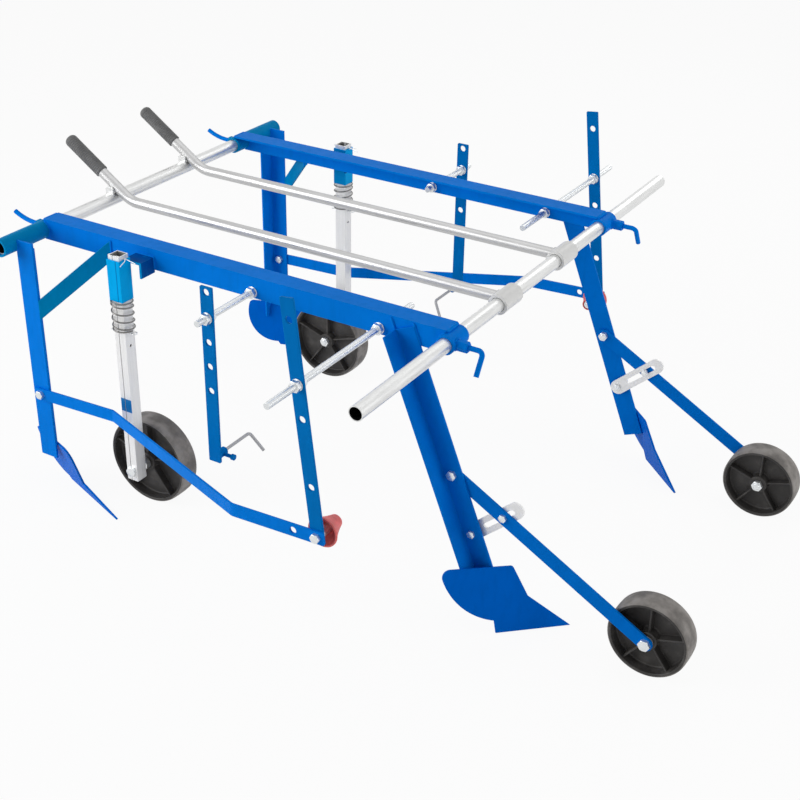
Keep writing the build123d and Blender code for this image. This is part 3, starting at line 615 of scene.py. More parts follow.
CAD_FINISH: dict[str, Finish] = {
    "beam": FRAME_BLUE,
    "front_sleeve": FRAME_BLUE,
    "rear_sleeve": BRACE_BLUE,
    "front_leg": LEG_BLUE,
    "rear_leg": FRAME_BLUE,
    "leg_brace": BRACE_BLUE,
    "post_bracket": SLEEVE_BLUE,
    "wheel_arm": LEG_BLUE,
    "hanger_brace": FRAME_BLUE,
    "front_clamp_screw": FRAME_BLUE,
    "rear_clamp_screw": FRAME_BLUE,
    "front_share": SHARE_BLUE,
    "rear_share": SHARE_BLUE,
    "hanger_strip": STRIP_BLUE,
    "guide_strip": STRIP_BLUE,
    "guide_wire": WIRE_GREY,
    "depth_link": LINK_ZINC,
    "handle": HANDLE_ZINC,
    "post": POST_ZINC,
}
TUBE_FINISH: dict[str, Finish] = {"front_tube": FRONT_ZINC, "rear_tube": REAR_ZINC}


@dataclass(frozen=True)
class Spindle:
    """Axis of a turned form: origin, direction, and the direction of angle 0."""

    origin: Vector
    along: Vector
    start: Vector

    def point(self, radius: float, angle: float, height: float) -> Vector:
        """Point at a distance from the axis, a turn about it and a distance along it."""
        out = self.start * cos(angle) + self.along.cross(self.start) * sin(angle)
        return self.origin + self.along * height + out * radius

    def loop(self, radius: Radius, height: float, steps: int) -> list[Vector]:
        """Closed loop of points whose radius depends on the angle."""
        angles = [TURN * i / steps for i in range(steps)]
        return [self.point(radius(a), a, height) for a in angles]


def circle(radius: float) -> Radius:
    """Radius of a circle over angle."""
    return lambda angle: radius


def polygon(sides: int, inner: float) -> Radius:
    """Radius of a regular polygon over angle, a flat facing angle 0."""
    step = TURN / sides
    return lambda angle: inner / cos((angle + step / 2) % step - step / 2)


def sweep(first: float, last: float, steps: int) -> list[float]:
    """Even angles in radians between two ends in degrees."""
    return [radians(first + (last - first) * i / steps) for i in range(steps + 1)]


def arc(centre: Pair, radius: float, first: float, last: float, steps: int) -> Profile:
    """Arc of a profile between two angles in degrees from the radial direction."""
    angles = sweep(first, last, steps)
    return [(centre[0] + radius * cos(a), centre[1] + radius * sin(a)) for a in angles]


class Shell:
    """Vertices and faces of one piece, gathered from closed forms."""

    around: int = 48
    nip: float = 0.2
    hex_start: float = 0.97
    hex_reach: float = 1.2
    hex_rise: float = 0.6
    hex_levels: tuple[float, ...] = (0.0, 0.25, 0.5, 0.75, 1.0)

    def __init__(self, side: Side) -> None:
        """Start empty, for a piece of one side."""
        self.side = side
        self.points: list[Vector] = []
        self.faces: list[tuple[int, ...]] = []

    def skin(self, loops: Iterable[Sequence[Vector]], ring: bool = False) -> None:
        """Join loops of equal length into one closed form.

        Args:
            loops: Loops of points in a row.
            ring: Whether the last loop joins the first; else both ends are capped.
        """
        rows: list[list[int]] = []
        for loop in loops:
            start = len(self.points)
            self.points.extend(loop)
            rows.append(list(range(start, len(self.points))))
        if ring:
            rows.append(rows[0])
        else:
            self.faces += [tuple(reversed(rows[0])), tuple(rows[-1])]
        count = len(rows[0])
        for low, high in zip(rows, rows[1:]):
            for i in range(count):
                j = (i + 1) % count
                self.faces.append((low[i], low[j], high[j], high[i]))

    def turned(self, spindle: Spindle, profile: Profile, steps: int, ring: bool = False) -> None:
        """Turned form of a profile (radius, height), which may close on itself."""
        self.skin([spindle.loop(circle(r), h, steps) for r, h in profile], ring)

    def tube(self, path: Sequence[Vector], radius: Callable[[int], float], steps: int) -> None:
        """Round wire along a path, with flat ends.

        Args:
            path: Centre points.
            radius: Radius at each point's index.
            steps: Points round the wire.
        """
        last = len(path) - 1
        side = (path[1] - path[0]).orthogonal().normalized()
        loops = []
        for i, point in enumerate(path):
            along = (path[min(i + 1, last)] - path[max(i - 1, 0)]).normalized()
            side = (side - along * side.dot(along)).normalized()
            loops.append(Spindle(point, along, side).loop(circle(radius(i)), 0.0, steps))
        self.skin(loops)

    def hexagon(self, spindle: Spindle, across: float, height: float, both: bool) -> None:
        """Hexagon head or nut with turned corners.

        Args:
            spindle: Its axis; the seat is at height 0.
            across: Width across flats.
            height: Height.
            both: Whether the seat side is turned too.
        """
        flats = polygon(6, across / 2)
        corner = across / 2 / cos(pi / 6) - across / 2
        start, rise = across / 2 * self.hex_start, corner * self.hex_rise
        ends = [(start + corner * self.hex_reach * k, rise * k) for k in self.hex_levels]
        rows = list(ends) if both else [(across, 0.0)]
        rows += [(reach, height - level) for reach, level in reversed(ends)]
        self.skin([spindle.loop(lambda a, r=r: min(r, flats(a)), h, self.around) for r, h in rows])

    def washer(self, spindle: Spindle, outer: float, inner: float, thick: float) -> None:
        """Flat washer.

        Args:
            spindle: Its axis; one face is at height 0.
            outer: Outer radius.
            inner: Radius of its hole.
            thick: Thickness.
        """
        nip = thick * self.nip
        edge = [(outer - nip, 0.0), (outer, nip), (outer, thick - nip), (outer - nip, thick)]
        self.turned(spindle, edge + [(inner, thick), (inner, 0.0)], self.around, ring=True)

    def piece(
        self,
        name: str,
        finish: Finish,
        body: str,
        nodes: Sequence[str] = (),
        crease: float = CREASE,
    ) -> bpy.types.Object:
        """Turn the shell into a dressed object that rides a body.

        Args:
            name: Piece name.
            finish: Its finish.
            body: Body that carries it.
            nodes: CAD nodes that it stands for.
            crease: Angle in degrees above which an edge stays sharp.

        Returns:
            The object.
        """
        mesh = bpy.data.meshes.new(name)
        mesh.from_pydata(self.points, [], self.faces)
        work = bmesh.new()
        work.from_mesh(mesh)
        bmesh.ops.recalc_face_normals(work, faces=work.faces)
        work.to_mesh(mesh)
        work.free()
        mesh.shade_smooth()
        mesh.set_sharp_from_angle(angle=radians(crease))
        mesh.materials.append(finish.material())
        made = bpy.data.objects.new(name, mesh)
        bpy.context.scene.collection.objects.link(made)
        if nodes:
            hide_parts(*nodes)
        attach(made, body)
        LOG.info("%s: %d faces on %s", name, len(mesh.polygons), body)
        return made

    def stand_in(
        self, node: str, kind: str, finish: Finish, body: str, crease: float = CREASE
    ) -> bpy.types.Object:
        """Piece that stands for a CAD node of this side and is named after it."""
        name = self.side.name_of(node)
        return self.piece(f"{name}_{kind}", finish, self.side.name_of(body), [name], crease)


@dataclass
class CadDress:
    """Finishes of the CAD nodes that stay in sight."""

    finishes: Mapping[str, Finish]
    tubes: Mapping[str, Finish]

    def build(self) -> None:
        """Give every named CAD node its material."""
        for side in Side:
            for part, finish in self.finishes.items():
                self.dress(side.name_of(part), finish)
        for tube, finish in self.tubes.items():
            self.dress(tube, finish)

    def dress(self, node: str, finish: Finish) -> None:
        """Set the only material of one CAD node.

        Args:
            node: Name of the node.
            finish: Its finish.
        """
        mesh = frame["nodes"][node].data
        mesh.materials.clear()
        mesh.materials.append(finish.material())
        LOG.info("%s: %s", node, finish.name)


@dataclass
class MouldedWheel:
    """Plastic wheel: crowned tread, thin web, hub and drafted ribs."""

    side: Side
    node: str
    body: str
    rim: float = 8.0 * MM
    rim_nip: float = 1.2 * MM
    rim_draft: float = 1.0 * MM
    round_off: float = 3.5 * MM
    crown: float = 0.7 * MM
    tread: tuple[Pair, ...] = ((0.2 * MM, 0.6), (0.0, 0.25))
    web: float = 2.5 * MM
    fillet: float = 3.0 * MM
    hub: float = 17.0 * MM
    hub_nip: float = 1.5 * MM
    bore: float = 6.1 * MM
    ribs: int = 5
    rib_base: float = 3.2 * MM
    rib_top: float = 1.8 * MM
    rib_nip: float = 1.0 * MM
    rib_drop: float = 5.0 * MM
    rib_roots: Pair = (1.0 * MM, 0.6 * MM)
    around: int = 96

    def build(self) -> None:
        """Make the wheel in place of its CAD node."""
        low, high = self.side.box(self.node)
        radius = (high.z - low.z) / 2
        half = (high.y - low.y) / 2
        spindle = Spindle((low + high) / 2, ALONG_Y, UP)
        shell = Shell(self.side)
        shell.turned(spindle, self.section(radius, half), self.around, ring=True)
        for index in range(self.ribs):
            self.add_rib(shell, spindle, TURN * index / self.ribs, radius, half)
        made = shell.stand_in(self.node, "moulding", WHEEL_BLACK, self.body)
        self.lighten_tread(made, spindle, radius - self.round_off)

    @staticmethod
    def lighten_tread(made: bpy.types.Object, spindle: Spindle, least: float) -> None:
        """Give the tread its lighter grey: partly dust and wear, partly a painted sheen against the
        shaded web.

        Args:
            made: The wheel.
            spindle: Its axis.
            least: Radius beyond which a face belongs to the tread.
        """
        made.data.materials.append(TREAD_GREY.material())
        for face in made.data.polygons:
            arm = face.center - spindle.origin
            if (arm - spindle.along * arm.dot(spindle.along)).length > least:
                face.material_index = 1

    def section(self, radius: float, half: float) -> Profile:
        """Closed section of the wheel.

        Args:
            radius: Tread radius.
            half: Half of the width.

        Returns:
            Points (radius, height).
        """
        inner = radius - self.rim
        shoulder = half - self.round_off
        crown = radius - self.round_off - self.crown
        foot = self.web + self.fillet
        nip = self.hub_nip
        upper = [(self.bore, half), (self.hub - nip, half), (self.hub, half - nip)]
        upper += arc((self.hub + self.fillet, foot), self.fillet, 180, 270, 4)
        upper += arc((inner - self.fillet - self.rim_draft, foot), self.fillet, 270, 360, 4)
        upper += [(inner, half - self.rim_nip), (inner + self.rim_nip, half)]
        upper += arc((crown, shoulder), self.round_off, 90, 8, 5)
        upper += [(radius - drop, shoulder * share) for drop, share in self.tread]
        return upper + [(r, -h) for r, h in reversed(upper)]

    def add_rib(
        self, shell: Shell, spindle: Spindle, angle: float, radius: float, half: float
    ) -> None:
        """Add one rib that runs through the web from hub to rim.

        Args:
            shell: Shell that takes it.
            spindle: Wheel axis.
            angle: Place round the axis.
            radius: Tread radius.
            half: Half of the wheel's width.
        """
        top, nip = half - self.rib_drop, self.rib_nip
        upper = [(self.rib_base, 0.0), (self.rib_top, top - nip), (self.rib_top - nip, top)]
        upper += [(-w, h) for w, h in reversed(upper)]
        outline = upper + [(w, -h) for w, h in reversed(upper[1:-1])]
        out = spindle.point(1.0, angle, 0.0) - spindle.origin
        across = spindle.along.cross(out)
        loops = []
        for reach in (self.hub - self.rib_roots[0], radius - self.rim + self.rib_roots[1]):
            foot = spindle.origin + out * reach
            loops.append([foot + across * w + spindle.along * h for w, h in outline])
        shell.skin(loops)


@dataclass
class HandleGrip:
    """Ribbed rubber grip on a lifting handle, with a rounded end."""

    side: Side
    bend_back: float = 837.0 * MM
    offset_y: float = 113.0 * MM
    rise: float = 33.8
    first: float = 86.0 * MM
    last: float = 185.0 * MM
    radius: float = 13.0 * MM
    lip: float = 1.0 * MM
    collar: float = 5.0 * MM
    pitch: float = 4.2 * MM
    valley: float = 0.55 * MM
    groove: tuple[Pair, ...] = ((0.15, 1.0), (0.5, 1.0), (0.65, 0.0), (1.0, 0.0))
    dome: float = 9.0 * MM
    crease: float = 50.0
    around: int = 56

    def build(self) -> None:
        """Make the grip in place of its CAD node."""
        front = middle_of("front_tube")
        corner = self.side.at(front.x - self.bend_back, self.offset_y, front.z)
        rise = radians(self.rise)
        spindle = Spindle(corner, Vector((-cos(rise), 0, sin(rise))), ALONG_Y)
        shell = Shell(self.side)
        shell.turned(spindle, self.profile(), self.around)
        shell.stand_in("grip", "rubber", GRIP_BLACK, "handle_body", self.crease)

    def profile(self) -> Profile:
        """Outline from the open end to the rounded one.

        Returns:
            Points (radius, height).
        """
        height = self.first + self.collar
        points = [(self.radius - self.lip, self.first), (self.radius, self.first + self.lip)]
        points.append((self.radius, height))
        while height < self.last - self.dome - self.pitch:
            for share, drop in self.groove:
                points.append((self.radius - self.valley * drop, height + self.pitch * share))
            height += self.pitch
        return points + arc((self.radius - self.dome, self.last - self.dome), self.dome, 0, 84, 8)


@dataclass
class ThreadedRods:
    """The two threaded rods of a side, with a real rolled thread."""

    side: Side
    radius: float = 6.0 * MM
    pitch: float = 1.75 * MM
    depth: float = 0.2 * MM
    foot: float = 0.9
    crest: float = 0.6
    around: int = 20
    bare_turns: int = 2
    guide_reach: Pair = (290.0 * MM, 470.0 * MM)

    def build(self) -> None:
        """Make both rods in place of their CAD node."""
        low, high = self.side.box("threaded_rods")
        height = (low.z + high.z) / 2
        shell = Shell(self.side)
        for x, reach in (
            (high.x - self.radius, self.side.reach("threaded_rods")),
            (low.x + self.radius, self.guide_reach),
        ):
            self.add_rod(shell, self.side.spindle(x, reach[0], height), reach[1] - reach[0])
        shell.stand_in("threaded_rods", "thread", THREAD_ZINC, "frame")

    def add_rod(self, shell: Shell, spindle: Spindle, length: float) -> None:
        """Add one rod with a helical thread.

        Args:
            shell: Shell that takes it.
            spindle: Axis from the rod's inboard end.
            length: Length of the rod.
        """
        core = self.radius - self.depth
        tip = core - self.depth
        ends = [(tip, 0.0), (core, self.depth), (core, length - self.depth), (tip, length)]
        shell.turned(spindle, ends, self.around)
        turns = int(length / self.pitch) - self.bare_turns
        shell.skin(self.ridge(spindle, i / self.around) for i in range(turns * self.around + 1))

    def ridge(self, spindle: Spindle, turn: float) -> list[Vector]:
        """Section of the thread's ridge.

        Args:
            spindle: Axis of the rod.
            turn: Turns from the inboard end.

        Returns:
            Points from the ridge's foot over its flat crest to its other foot.
        """
        height = self.pitch * (turn + 1)
        root, top = self.radius - 2 * self.depth, self.radius
        section = [(root, -self.foot), (top, -self.crest), (top, self.crest), (root, self.foot)]
        half = self.pitch / 2
        return [spindle.point(r, TURN * turn, height + share * half) for r, share in section]


@dataclass
class PressSpring:
    """Coil spring between the post's seat and the sleeve."""

    side: Side
    wire: float = 1.5 * MM
    turns: float = 5.5
    end_pitch: float = 3.7 * MM
    end_turns: float = 1.0
    travel: float = 30.0 * MM
    per_turn: int = 40
    around: int = 14

    def build(self) -> None:
        """Make the spring in place of its CAD node."""
        low, high = self.side.box("post_spring")
        length = high.z - low.z
        post = self.side.middle("post")
        mean = (high.x - low.x) / 2 - self.wire
        path = []
        for i in range(int(self.turns * self.per_turn) + 1):
            turn = i / self.per_turn
            angle = TURN * turn * self.side.value
            rise = low.z + self.wire + self.height(turn, length - 2 * self.wire)
            path.append(Vector((post.x + mean * cos(angle), post.y + mean * sin(angle), rise)))
        shell = Shell(self.side)
        shell.tube(path, lambda i: self.wire, self.around)
        made = shell.stand_in("post_spring", "coil", SPRING_WIRE, "frame")
        slide = self.side.name_of("post_slide")
        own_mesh(made)

    def height(self, turn: float, body: float) -> float:
        """Height of the wire centre above the first turn.

        Args:
            turn: Turns from the lower end.
            body: Height between the end turns' centres.

        Returns:
            The height.
        """
        closed = self.end_pitch * self.end_turns
        active = (body - 2 * closed) / (self.turns - 2 * self.end_turns)
        if turn <= self.end_turns:
            return self.end_pitch * turn
        if turn >= self.turns - self.end_turns:
            return body - self.end_pitch * (self.turns - turn)
        return closed + active * (turn - self.end_turns)


@dataclass
class FilmCone:
    """Red cone that holds one end of the film roll's core."""

    side: Side
    bore: float = 5.1 * MM
    nose: float = 12.0 * MM
    base: float = 28.0 * MM
    flange: float = 4.0 * MM
    flange_edge: float = 0.8
    wall: float = 3.0 * MM
    plug: float = 16.0 * MM
    plug_wall: float = 4.0 * MM
    sink: float = 5.0 * MM
    sink_radius: float = 9.8 * MM
    round_off: float = 1.2 * MM
    bow: float = 1.2 * MM
    bow_steps: int = 9
    crease: float = 45.0
    around: int = 64

    def build(self) -> None:
        """Make the cone in place of its CAD node."""
        middle = self.side.middle("film_cone")
        tip, end = self.side.reach("film_cone")
        spindle = self.side.spindle(middle.x, tip, middle.z)
        shell = Shell(self.side)
        shell.turned(spindle, self.profile(end - tip), self.around, ring=True)
        shell.stand_in("film_cone", "moulding", CONE_RED, "cone", self.crease)

    def profile(self, length: float) -> Profile:
        """Closed section of the cone, tip at height 0.

        Args:
            length: Length of the cone.

        Returns:
            Points (radius, height).
        """
        lip, soft = length - self.flange, self.round_off
        hollow = self.base - self.wall
        points = [(self.bore, self.sink), (self.sink_radius, self.sink), (self.sink_radius, 0.0)]
        points += arc((self.nose - soft, soft), soft, -90, -10, 5)
        for step in range(1, self.bow_steps):
            share = step / self.bow_steps
            reach = self.nose + (self.base - soft - self.nose) * share - self.bow * sin(pi * share)
            points.append((reach, soft + (lip - soft) * share))
        points += [(self.base - soft, lip), (self.base, lip + self.flange_edge * soft)]
        points += arc((self.base - soft, length - soft), soft, 0, 90, 4)
        points += [(hollow, length), (hollow, lip), (self.bore + self.plug_wall, self.plug)]
        return points + [(self.bore, self.plug)]


@dataclass(frozen=True)
class Bolt:
    """Bolt along Y: head outboard of one face, nut inboard of the other."""

    radius: float
    across: float
    head: float
    nut: float
    tail: float = 3.0 * MM
    nip: float = 0.2
    sunk: float = 1.0 * MM
    around: int = 32

    def add(self, shell: Shell, place: Vector, outer: float, inner: float) -> None:
        """Add the bolt to a shell.

        Args:
            shell: Shell that takes it.
            place: A point whose X and Z give the axis.
            outer: |Y| of the face under the head.
            inner: |Y| of the face under the nut.
        """
        head = shell.side.spindle(place.x, outer, place.z)
        nut = shell.side.spindle(place.x, inner, place.z, -1.0)
        shell.hexagon(head, self.across, self.head, both=False)
        shell.hexagon(nut, self.across, self.nut, both=True)
        end, root = self.nut + self.tail, inner - outer - self.sunk
        nip = self.radius * self.nip
        shank = [(self.radius - nip, end), (self.radius, end - nip), (self.radius, root)]
        shell.turned(nut, shank, self.around)


M12 = Bolt(6.0 * MM, 19.0 * MM, 6.5 * MM, 8.0 * MM)
M10 = Bolt(5.0 * MM, 16.0 * MM, 6.5 * MM, 8.0 * MM)
M8 = Bolt(4.0 * MM, 13.0 * MM, 5.0 * MM, 6.0 * MM)
CONE_BOLT = Bolt(5.0 * MM, 16.0 * MM, 6.0 * MM, 4.0 * MM, 0.5 * MM)


@dataclass(frozen=True)
class SplitPin:
    """Split pin along X through a post: an eye at one end, two spread legs at the other."""

    height: float
    wire: float
    eye: float
    eye_at: float
    legs: tuple[tuple[Triple, ...], ...]
    gap: float = 25.0
    steps: int = 24
    around: int = 12

    def add(self, shell: Shell, post: Vector) -> None:
        """Add the pin to a shell.

        Args:
            shell: Shell that takes it.
            post: A point of the post's axis.
        """
        centre = Vector((post.x, post.y, self.height))
        across = -self.eye if self.eye_at > 0 else self.eye
        ring = [
            centre + shell.side.at(self.eye_at + across * cos(a), self.eye * sin(a), 0)
            for a in sweep(self.gap, 360.0 - self.gap, self.steps)
        ]
        shell.tube(ring, lambda i: self.wire, self.around)
        for leg, start in zip(self.legs, (ring[0], ring[-1])):
            path = [start] + [centre + shell.side.at(*point) * MM for point in leg]
            shell.tube(path, lambda i: self.wire, self.around)


TOP_PIN = SplitPin(
    534.3 * MM,
    0.8 * MM,
    4.2 * MM,
    -18.0 * MM,
    (
        ((-12, 0.75, 0), (13, 0.75, 0), (18, 2, -0.6), (20.5, 6, -2.2), (21.5, 20, -7)),
        ((-12, -0.75, 0), (13, -0.75, 0), (16, -0.8, -0.4), (38, -1.5, -5)),
    ),
)
SEAT_PIN = SplitPin(
    388.5 * MM,
    1.25 * MM,
    5.0 * MM,
    24.0 * MM,
    (
        ((17, 1.2, 0), (-13, 1.2, 0), (-17, 2, 0), (-26, 7, -1)),
        ((17, -1.2, 0), (-13, -1.2, 0), (-17, -2, 0), (-26, -7, -1)),
    ),
)


@dataclass
class Fasteners:
    """Nuts, bolts, washers and pins of one side."""

    side: Side
    beam: float = 316.0 * MM
    angle: float = 4.0 * MM
    strip: float = 4.0 * MM
    hanger: float = 550.0 * MM
    guide: float = 440.0 * MM
    rod: float = 6.0 * MM
    nut_across: float = 18.0 * MM
    nut_height: float = 10.0 * MM
    washer_radius: float = 10.5 * MM
    washer: float = 1.4 * MM
    play: float = 0.4 * MM
    arm: Pair = (311.6 * MM, 315.6 * MM)
    link: Pair = (307.2 * MM, 311.2 * MM)
    link_spacer: Pair = (8.0 * MM, 4.05 * MM)
    cone_spacer: Pair = (8.0 * MM, 5.05 * MM)
    axle_spacer: Pair = (12.0 * MM, 6.05 * MM)
    arm_bolt: float = 111.6 * MM
    bar_bolt: Triple = (-580.76 * MM, 0.0, 211.0 * MM)
    bar: Pair = (395.0 * MM, 403.0 * MM)
    post_half: float = 12.5 * MM

    def build(self) -> None:
        """Make the three groups of fasteners."""
        self.build_frame()
        self.build_arm()
        self.build_post()

    def spacer(self, shell: Shell, place: Vector, first: float, last: float, radii: Pair) -> None:
        """Add a spacer of an outer and an inner radius between two |Y|, on a point's Y line."""
        shell.washer(self.side.spindle(place.x, first, place.z), *radii, last - first)

    def build_frame(self) -> None:
        """Rod nuts, pivot bolts and cone bolt."""
        low, high = self.side.box("threaded_rods")
        shell = Shell(self.side)
        for x, strip in ((high.x - self.rod, self.hanger), (low.x + self.rod, self.guide)):
            for face in (self.beam, strip + self.strip / 2):
                self.add_rod_nuts(shell, x, (low.z + high.z) / 2, face)
        outer = self.beam + self.angle
        M10.add(shell, self.side.joint("depth_swing"), outer, self.arm[0] - self.play)
        link = self.side.joint("link_swing")
        M8.add(shell, link, outer, self.link[0] - self.play)
        self.spacer(shell, link, self.link[1] + self.play, self.beam, self.link_spacer)
        M10.add(shell, Vector(self.bar_bolt), self.bar[1], self.bar[0])
        cone = self.side.middle("film_cone")
        tip = self.side.reach("film_cone")[0]
        sunk = tip + FilmCone.sink - self.play
        CONE_BOLT.add(shell, cone, self.hanger + self.strip * 1.5, sunk)
        inner = tip + FilmCone.plug + self.play
        self.spacer(shell, cone, inner, self.hanger - self.strip / 2, self.cone_spacer)
        shell.stand_in("frame_fasteners", "plated", BOLT_ZINC, "frame")

    def add_rod_nuts(self, shell: Shell, x: float, height: float, face: float) -> None:
        """Add the nut and washer on both faces of a plate.

        Args:
            shell: Shell that takes them.
            x: Place of the rod.
            height: Height of the rod.
            face: |Y| of the plate's outboard face.
        """
        for plane, out in ((face, 1.0), (face - self.strip, -1.0)):
            seat = self.side.spindle(x, plane, height, out)
            shell.washer(seat, self.washer_radius, self.rod, self.washer)
            nut = self.side.spindle(x, plane + out * self.washer, height, out)
            shell.hexagon(nut, self.nut_across, self.nut_height - self.washer, both=True)

    def build_arm(self) -> None:
        """Axle bolt and link bolt of the depth wheel arm."""
        wheel = self.side.middle("front_wheel")
        inner, outer = self.side.reach("front_wheel")
        pivot = self.side.joint("depth_swing")
        out = Vector((wheel.x - pivot.x, 0, wheel.z - pivot.z)).normalized()
        shell = Shell(self.side)
        M12.add(shell, wheel, self.arm[1], inner - self.play)
        self.spacer(shell, wheel, outer + self.play, self.arm[0], self.axle_spacer)
        bolt = pivot + out * self.arm_bolt
        M8.add(shell, bolt, self.arm[1], self.link[0] - self.play)
        shell.stand_in("arm_bolts", "plated", BOLT_ZINC, "arm")

    def build_post(self) -> None:
        """Both split pins and the wheel's axle bolt."""
        post = self.side.middle("post")
        y = abs(post.y)
        wheel = self.side.middle("press_wheel")
        inner, outer = self.side.reach("press_wheel")
        shell = Shell(self.side)
        M12.add(shell, wheel, y + self.post_half, inner - self.play)
        self.spacer(shell, wheel, outer + self.play, y - self.post_half, self.axle_spacer)
        for pin in (TOP_PIN, SEAT_PIN):
            pin.add(shell, post)
        shell.stand_in("post_fasteners", "plated", BOLT_ZINC, "post_body")


@dataclass
class Welds:
    """Weld beads of one side frame and its handle; bead sizes are shares of the usual one."""

    side: Side
    bead: float = 2.3 * MM
    ripple: float = 0.14
    ripple_pitch: float = 3.2 * MM
    step: float = 1.0 * MM
    taper: Pair = (0.55, 0.15)
    around: int = 10
    crease: float = 60.0
    degrees: float = 5.0
    beam: Pair = (500.0 * MM, 540.0 * MM)
    beam_inset: float = 2.0 * MM
    face: float = 316.0 * MM
    leg_half: float = 20.0 * MM
    leg_tilt: float = 22.0
    leg_lift: float = 0.8 * MM
    plate_lift: float = 0.6 * MM
    sleeve: float = 17.0 * MM
    front_arc: Pair = (106.0, 254.0)
    rear_arc: Pair = (-74.0, 74.0)
    rear_leg: Pair = (395.0 * MM, 399.0 * MM)
    rear_leg_arc: Pair = (-43.0, 32.0)
    boss: float = 9.6 * MM
    boss_bead: float = 0.7
    front_boss: float = 312.0 * MM
    rear_boss: float = 300.0 * MM
    collar: float = 18.5 * MM
    handle: float = 10.5 * MM
    handle_y: float = 113.0 * MM
    handle_bead: float = 0.9
    stub_x: Pair = (-381.76 * MM, -341.76 * MM)
    stub_z: Pair = (503.0 * MM, 525.0 * MM)
    brace_top: Triple = (-446.76 * MM, 316.0 * MM, 512.0 * MM)
    brace_low: Triple = (-560.76 * MM, 397.0 * MM, 395.0 * MM)
    brace_bead: float = 0.9
    strip: Pair = (4.0 * MM, 30.0 * MM)
    flange: Pair = (277.0 * MM, 315.0 * MM)
    flange_end: float = 3.0 * MM
    flange_z: float = 537.4 * MM
    flange_bead: float = 1.4
    socket_radius: float = 8.0 * MM
    socket_foot: float = 9.0 * MM
    socket_bead: float = 0.8
    guide_face: float = 438.0 * MM
    guide_wire: float = 3.0 * MM

    def build(self) -> None:
        """Make the painted beads and the handle's plated one."""
        front = middle_of("front_tube")
        rear = Vector((middle_of("rear_tube").x, front.y, front.z))
        shell = Shell(self.side)
        for hand in (-1, 1):
            self.bead_on(shell, self.leg_edge(hand * self.leg_half))
        self.bead_on(shell, self.stub())
        for hand in (-1, 1):
            self.bead_on(shell, self.brace_edge(hand), self.brace_bead)
        self.bead_on(shell, self.socket(), self.socket_bead)
        for tube, y, ends in (
            (front, self.face, self.front_arc),
            (rear, self.face, self.rear_arc),
            (rear, self.rear_leg[0], self.rear_leg_arc),
            (rear, self.rear_leg[1], self.rear_leg_arc),
        ):
            self.bead_on(shell, self.curve(tube.x, y, tube.z, self.sleeve, ends))
        for x in (front.x - self.flange_end, rear.x + self.flange_end):
            edge = [self.side.at(x, y, self.flange_z) for y in self.flange]
            self.bead_on(shell, edge, self.flange_bead)
        for tube, y, out in ((front, self.front_boss, 1), (rear, self.rear_boss, -1)):
            self.bead_on(shell, self.seam(tube, y, out, self.sleeve, self.boss), self.boss_bead)
        frame_body, handle_body = (self.side.name_of(body) for body in ("frame", "handle_body"))
        shell.piece(self.side.name_of("frame_welds"), FRAME_BLUE, frame_body, crease=self.crease)
        joint = Shell(self.side)
        seam = self.seam(front, self.handle_y, -1, self.collar, self.handle)
        self.bead_on(joint, seam, self.handle_bead)
        joint.piece(self.side.name_of("handle_weld"), HANDLE_ZINC, handle_body, crease=self.crease)

    def angles(self, first: float, last: float) -> list[float]:
        """Angles in radians between two ends in degrees, spaced by `degrees`."""
        return sweep(first, last, int(abs(last - first) / self.degrees))

    def curve(self, x: float, y: float, z: float, radius: float, ends: Pair) -> list[Vector]:
        """Arc about a line along Y, between two angles in degrees."""
        angles = self.angles(*ends)
        return [self.side.at(x + radius * cos(a), y, z + radius * sin(a)) for a in angles]

    def seam(self, tube: Vector, y: float, out: int, big: float, small: float) -> list[Vector]:
        """Seam where a small bar along X meets a tube along Y.

        Args:
            tube: A point of the tube's axis.
            y: Axis of the bar.
            out: Side of the tube on which the bar stands, 1 or -1.
            big: Radius of the tube.
            small: Radius of the bar.

        Returns:
            Points of the closed seam.
        """
        points = []
        for angle in self.angles(*ROUND):
            lift = small * sin(angle)
            x = tube.x + out * sqrt(big**2 - lift**2)
            points.append(self.side.at(x, y + small * cos(angle), tube.z + lift))
        return points

    def bead_on(self, shell: Shell, corners: Sequence[Vector], scale: float = 1.0) -> None:
        """Lay a rippled bead along a path.

        Args:
            shell: Shell that takes it.
            corners: Path of the bead.
            scale: Thickness relative to the usual bead.
        """
        path = [corners[0]]
        for first, last in zip(corners, corners[1:]):
            count = max(1, round((last - first).length / self.step))
            path += [first.lerp(last, (i + 1) / count) for i in range(count)]
        per_wave = self.ripple_pitch / self.step

        def radius(i: int) -> float:
            """Bead radius at a point: rippled, tapered at the ends."""
            end = min(1.0, self.taper[0] + self.taper[1] * min(i, len(path) - 1 - i))
            return self.bead * scale * end * (1 + self.ripple * sin(TURN * i / per_wave))

        shell.tube(path, radius, self.around)

    def leg_edge(self, edge: float) -> list[Vector]:
        """Path down one edge of the front leg on the beam.

        Args:
            edge: Distance of the edge ahead of the leg's middle.

        Returns:
            Both ends of the path.
        """
        tilt = radians(self.leg_tilt)
        up = Vector((-sin(tilt), 0, cos(tilt)))
        foot = self.side.joint("depth_swing") + Vector((cos(tilt), 0, sin(tilt))) * edge
        ends = []
        for z in (self.beam[0] + self.beam_inset, self.beam[1] - self.beam_inset):
            spot = foot + up * ((z - foot.z) / up.z)
            ends.append(self.side.at(spot.x, self.face + self.leg_lift, spot.z))
        return ends

    def stub(self) -> list[Vector]:
        """Path round the post bracket's stub on the beam."""
        y, (back, ahead), (low, high) = self.face + self.plate_lift, self.stub_x, self.stub_z
        return [self.side.at(x, y, z) for x, z in ((back, high), (ahead, high), (ahead, low))]

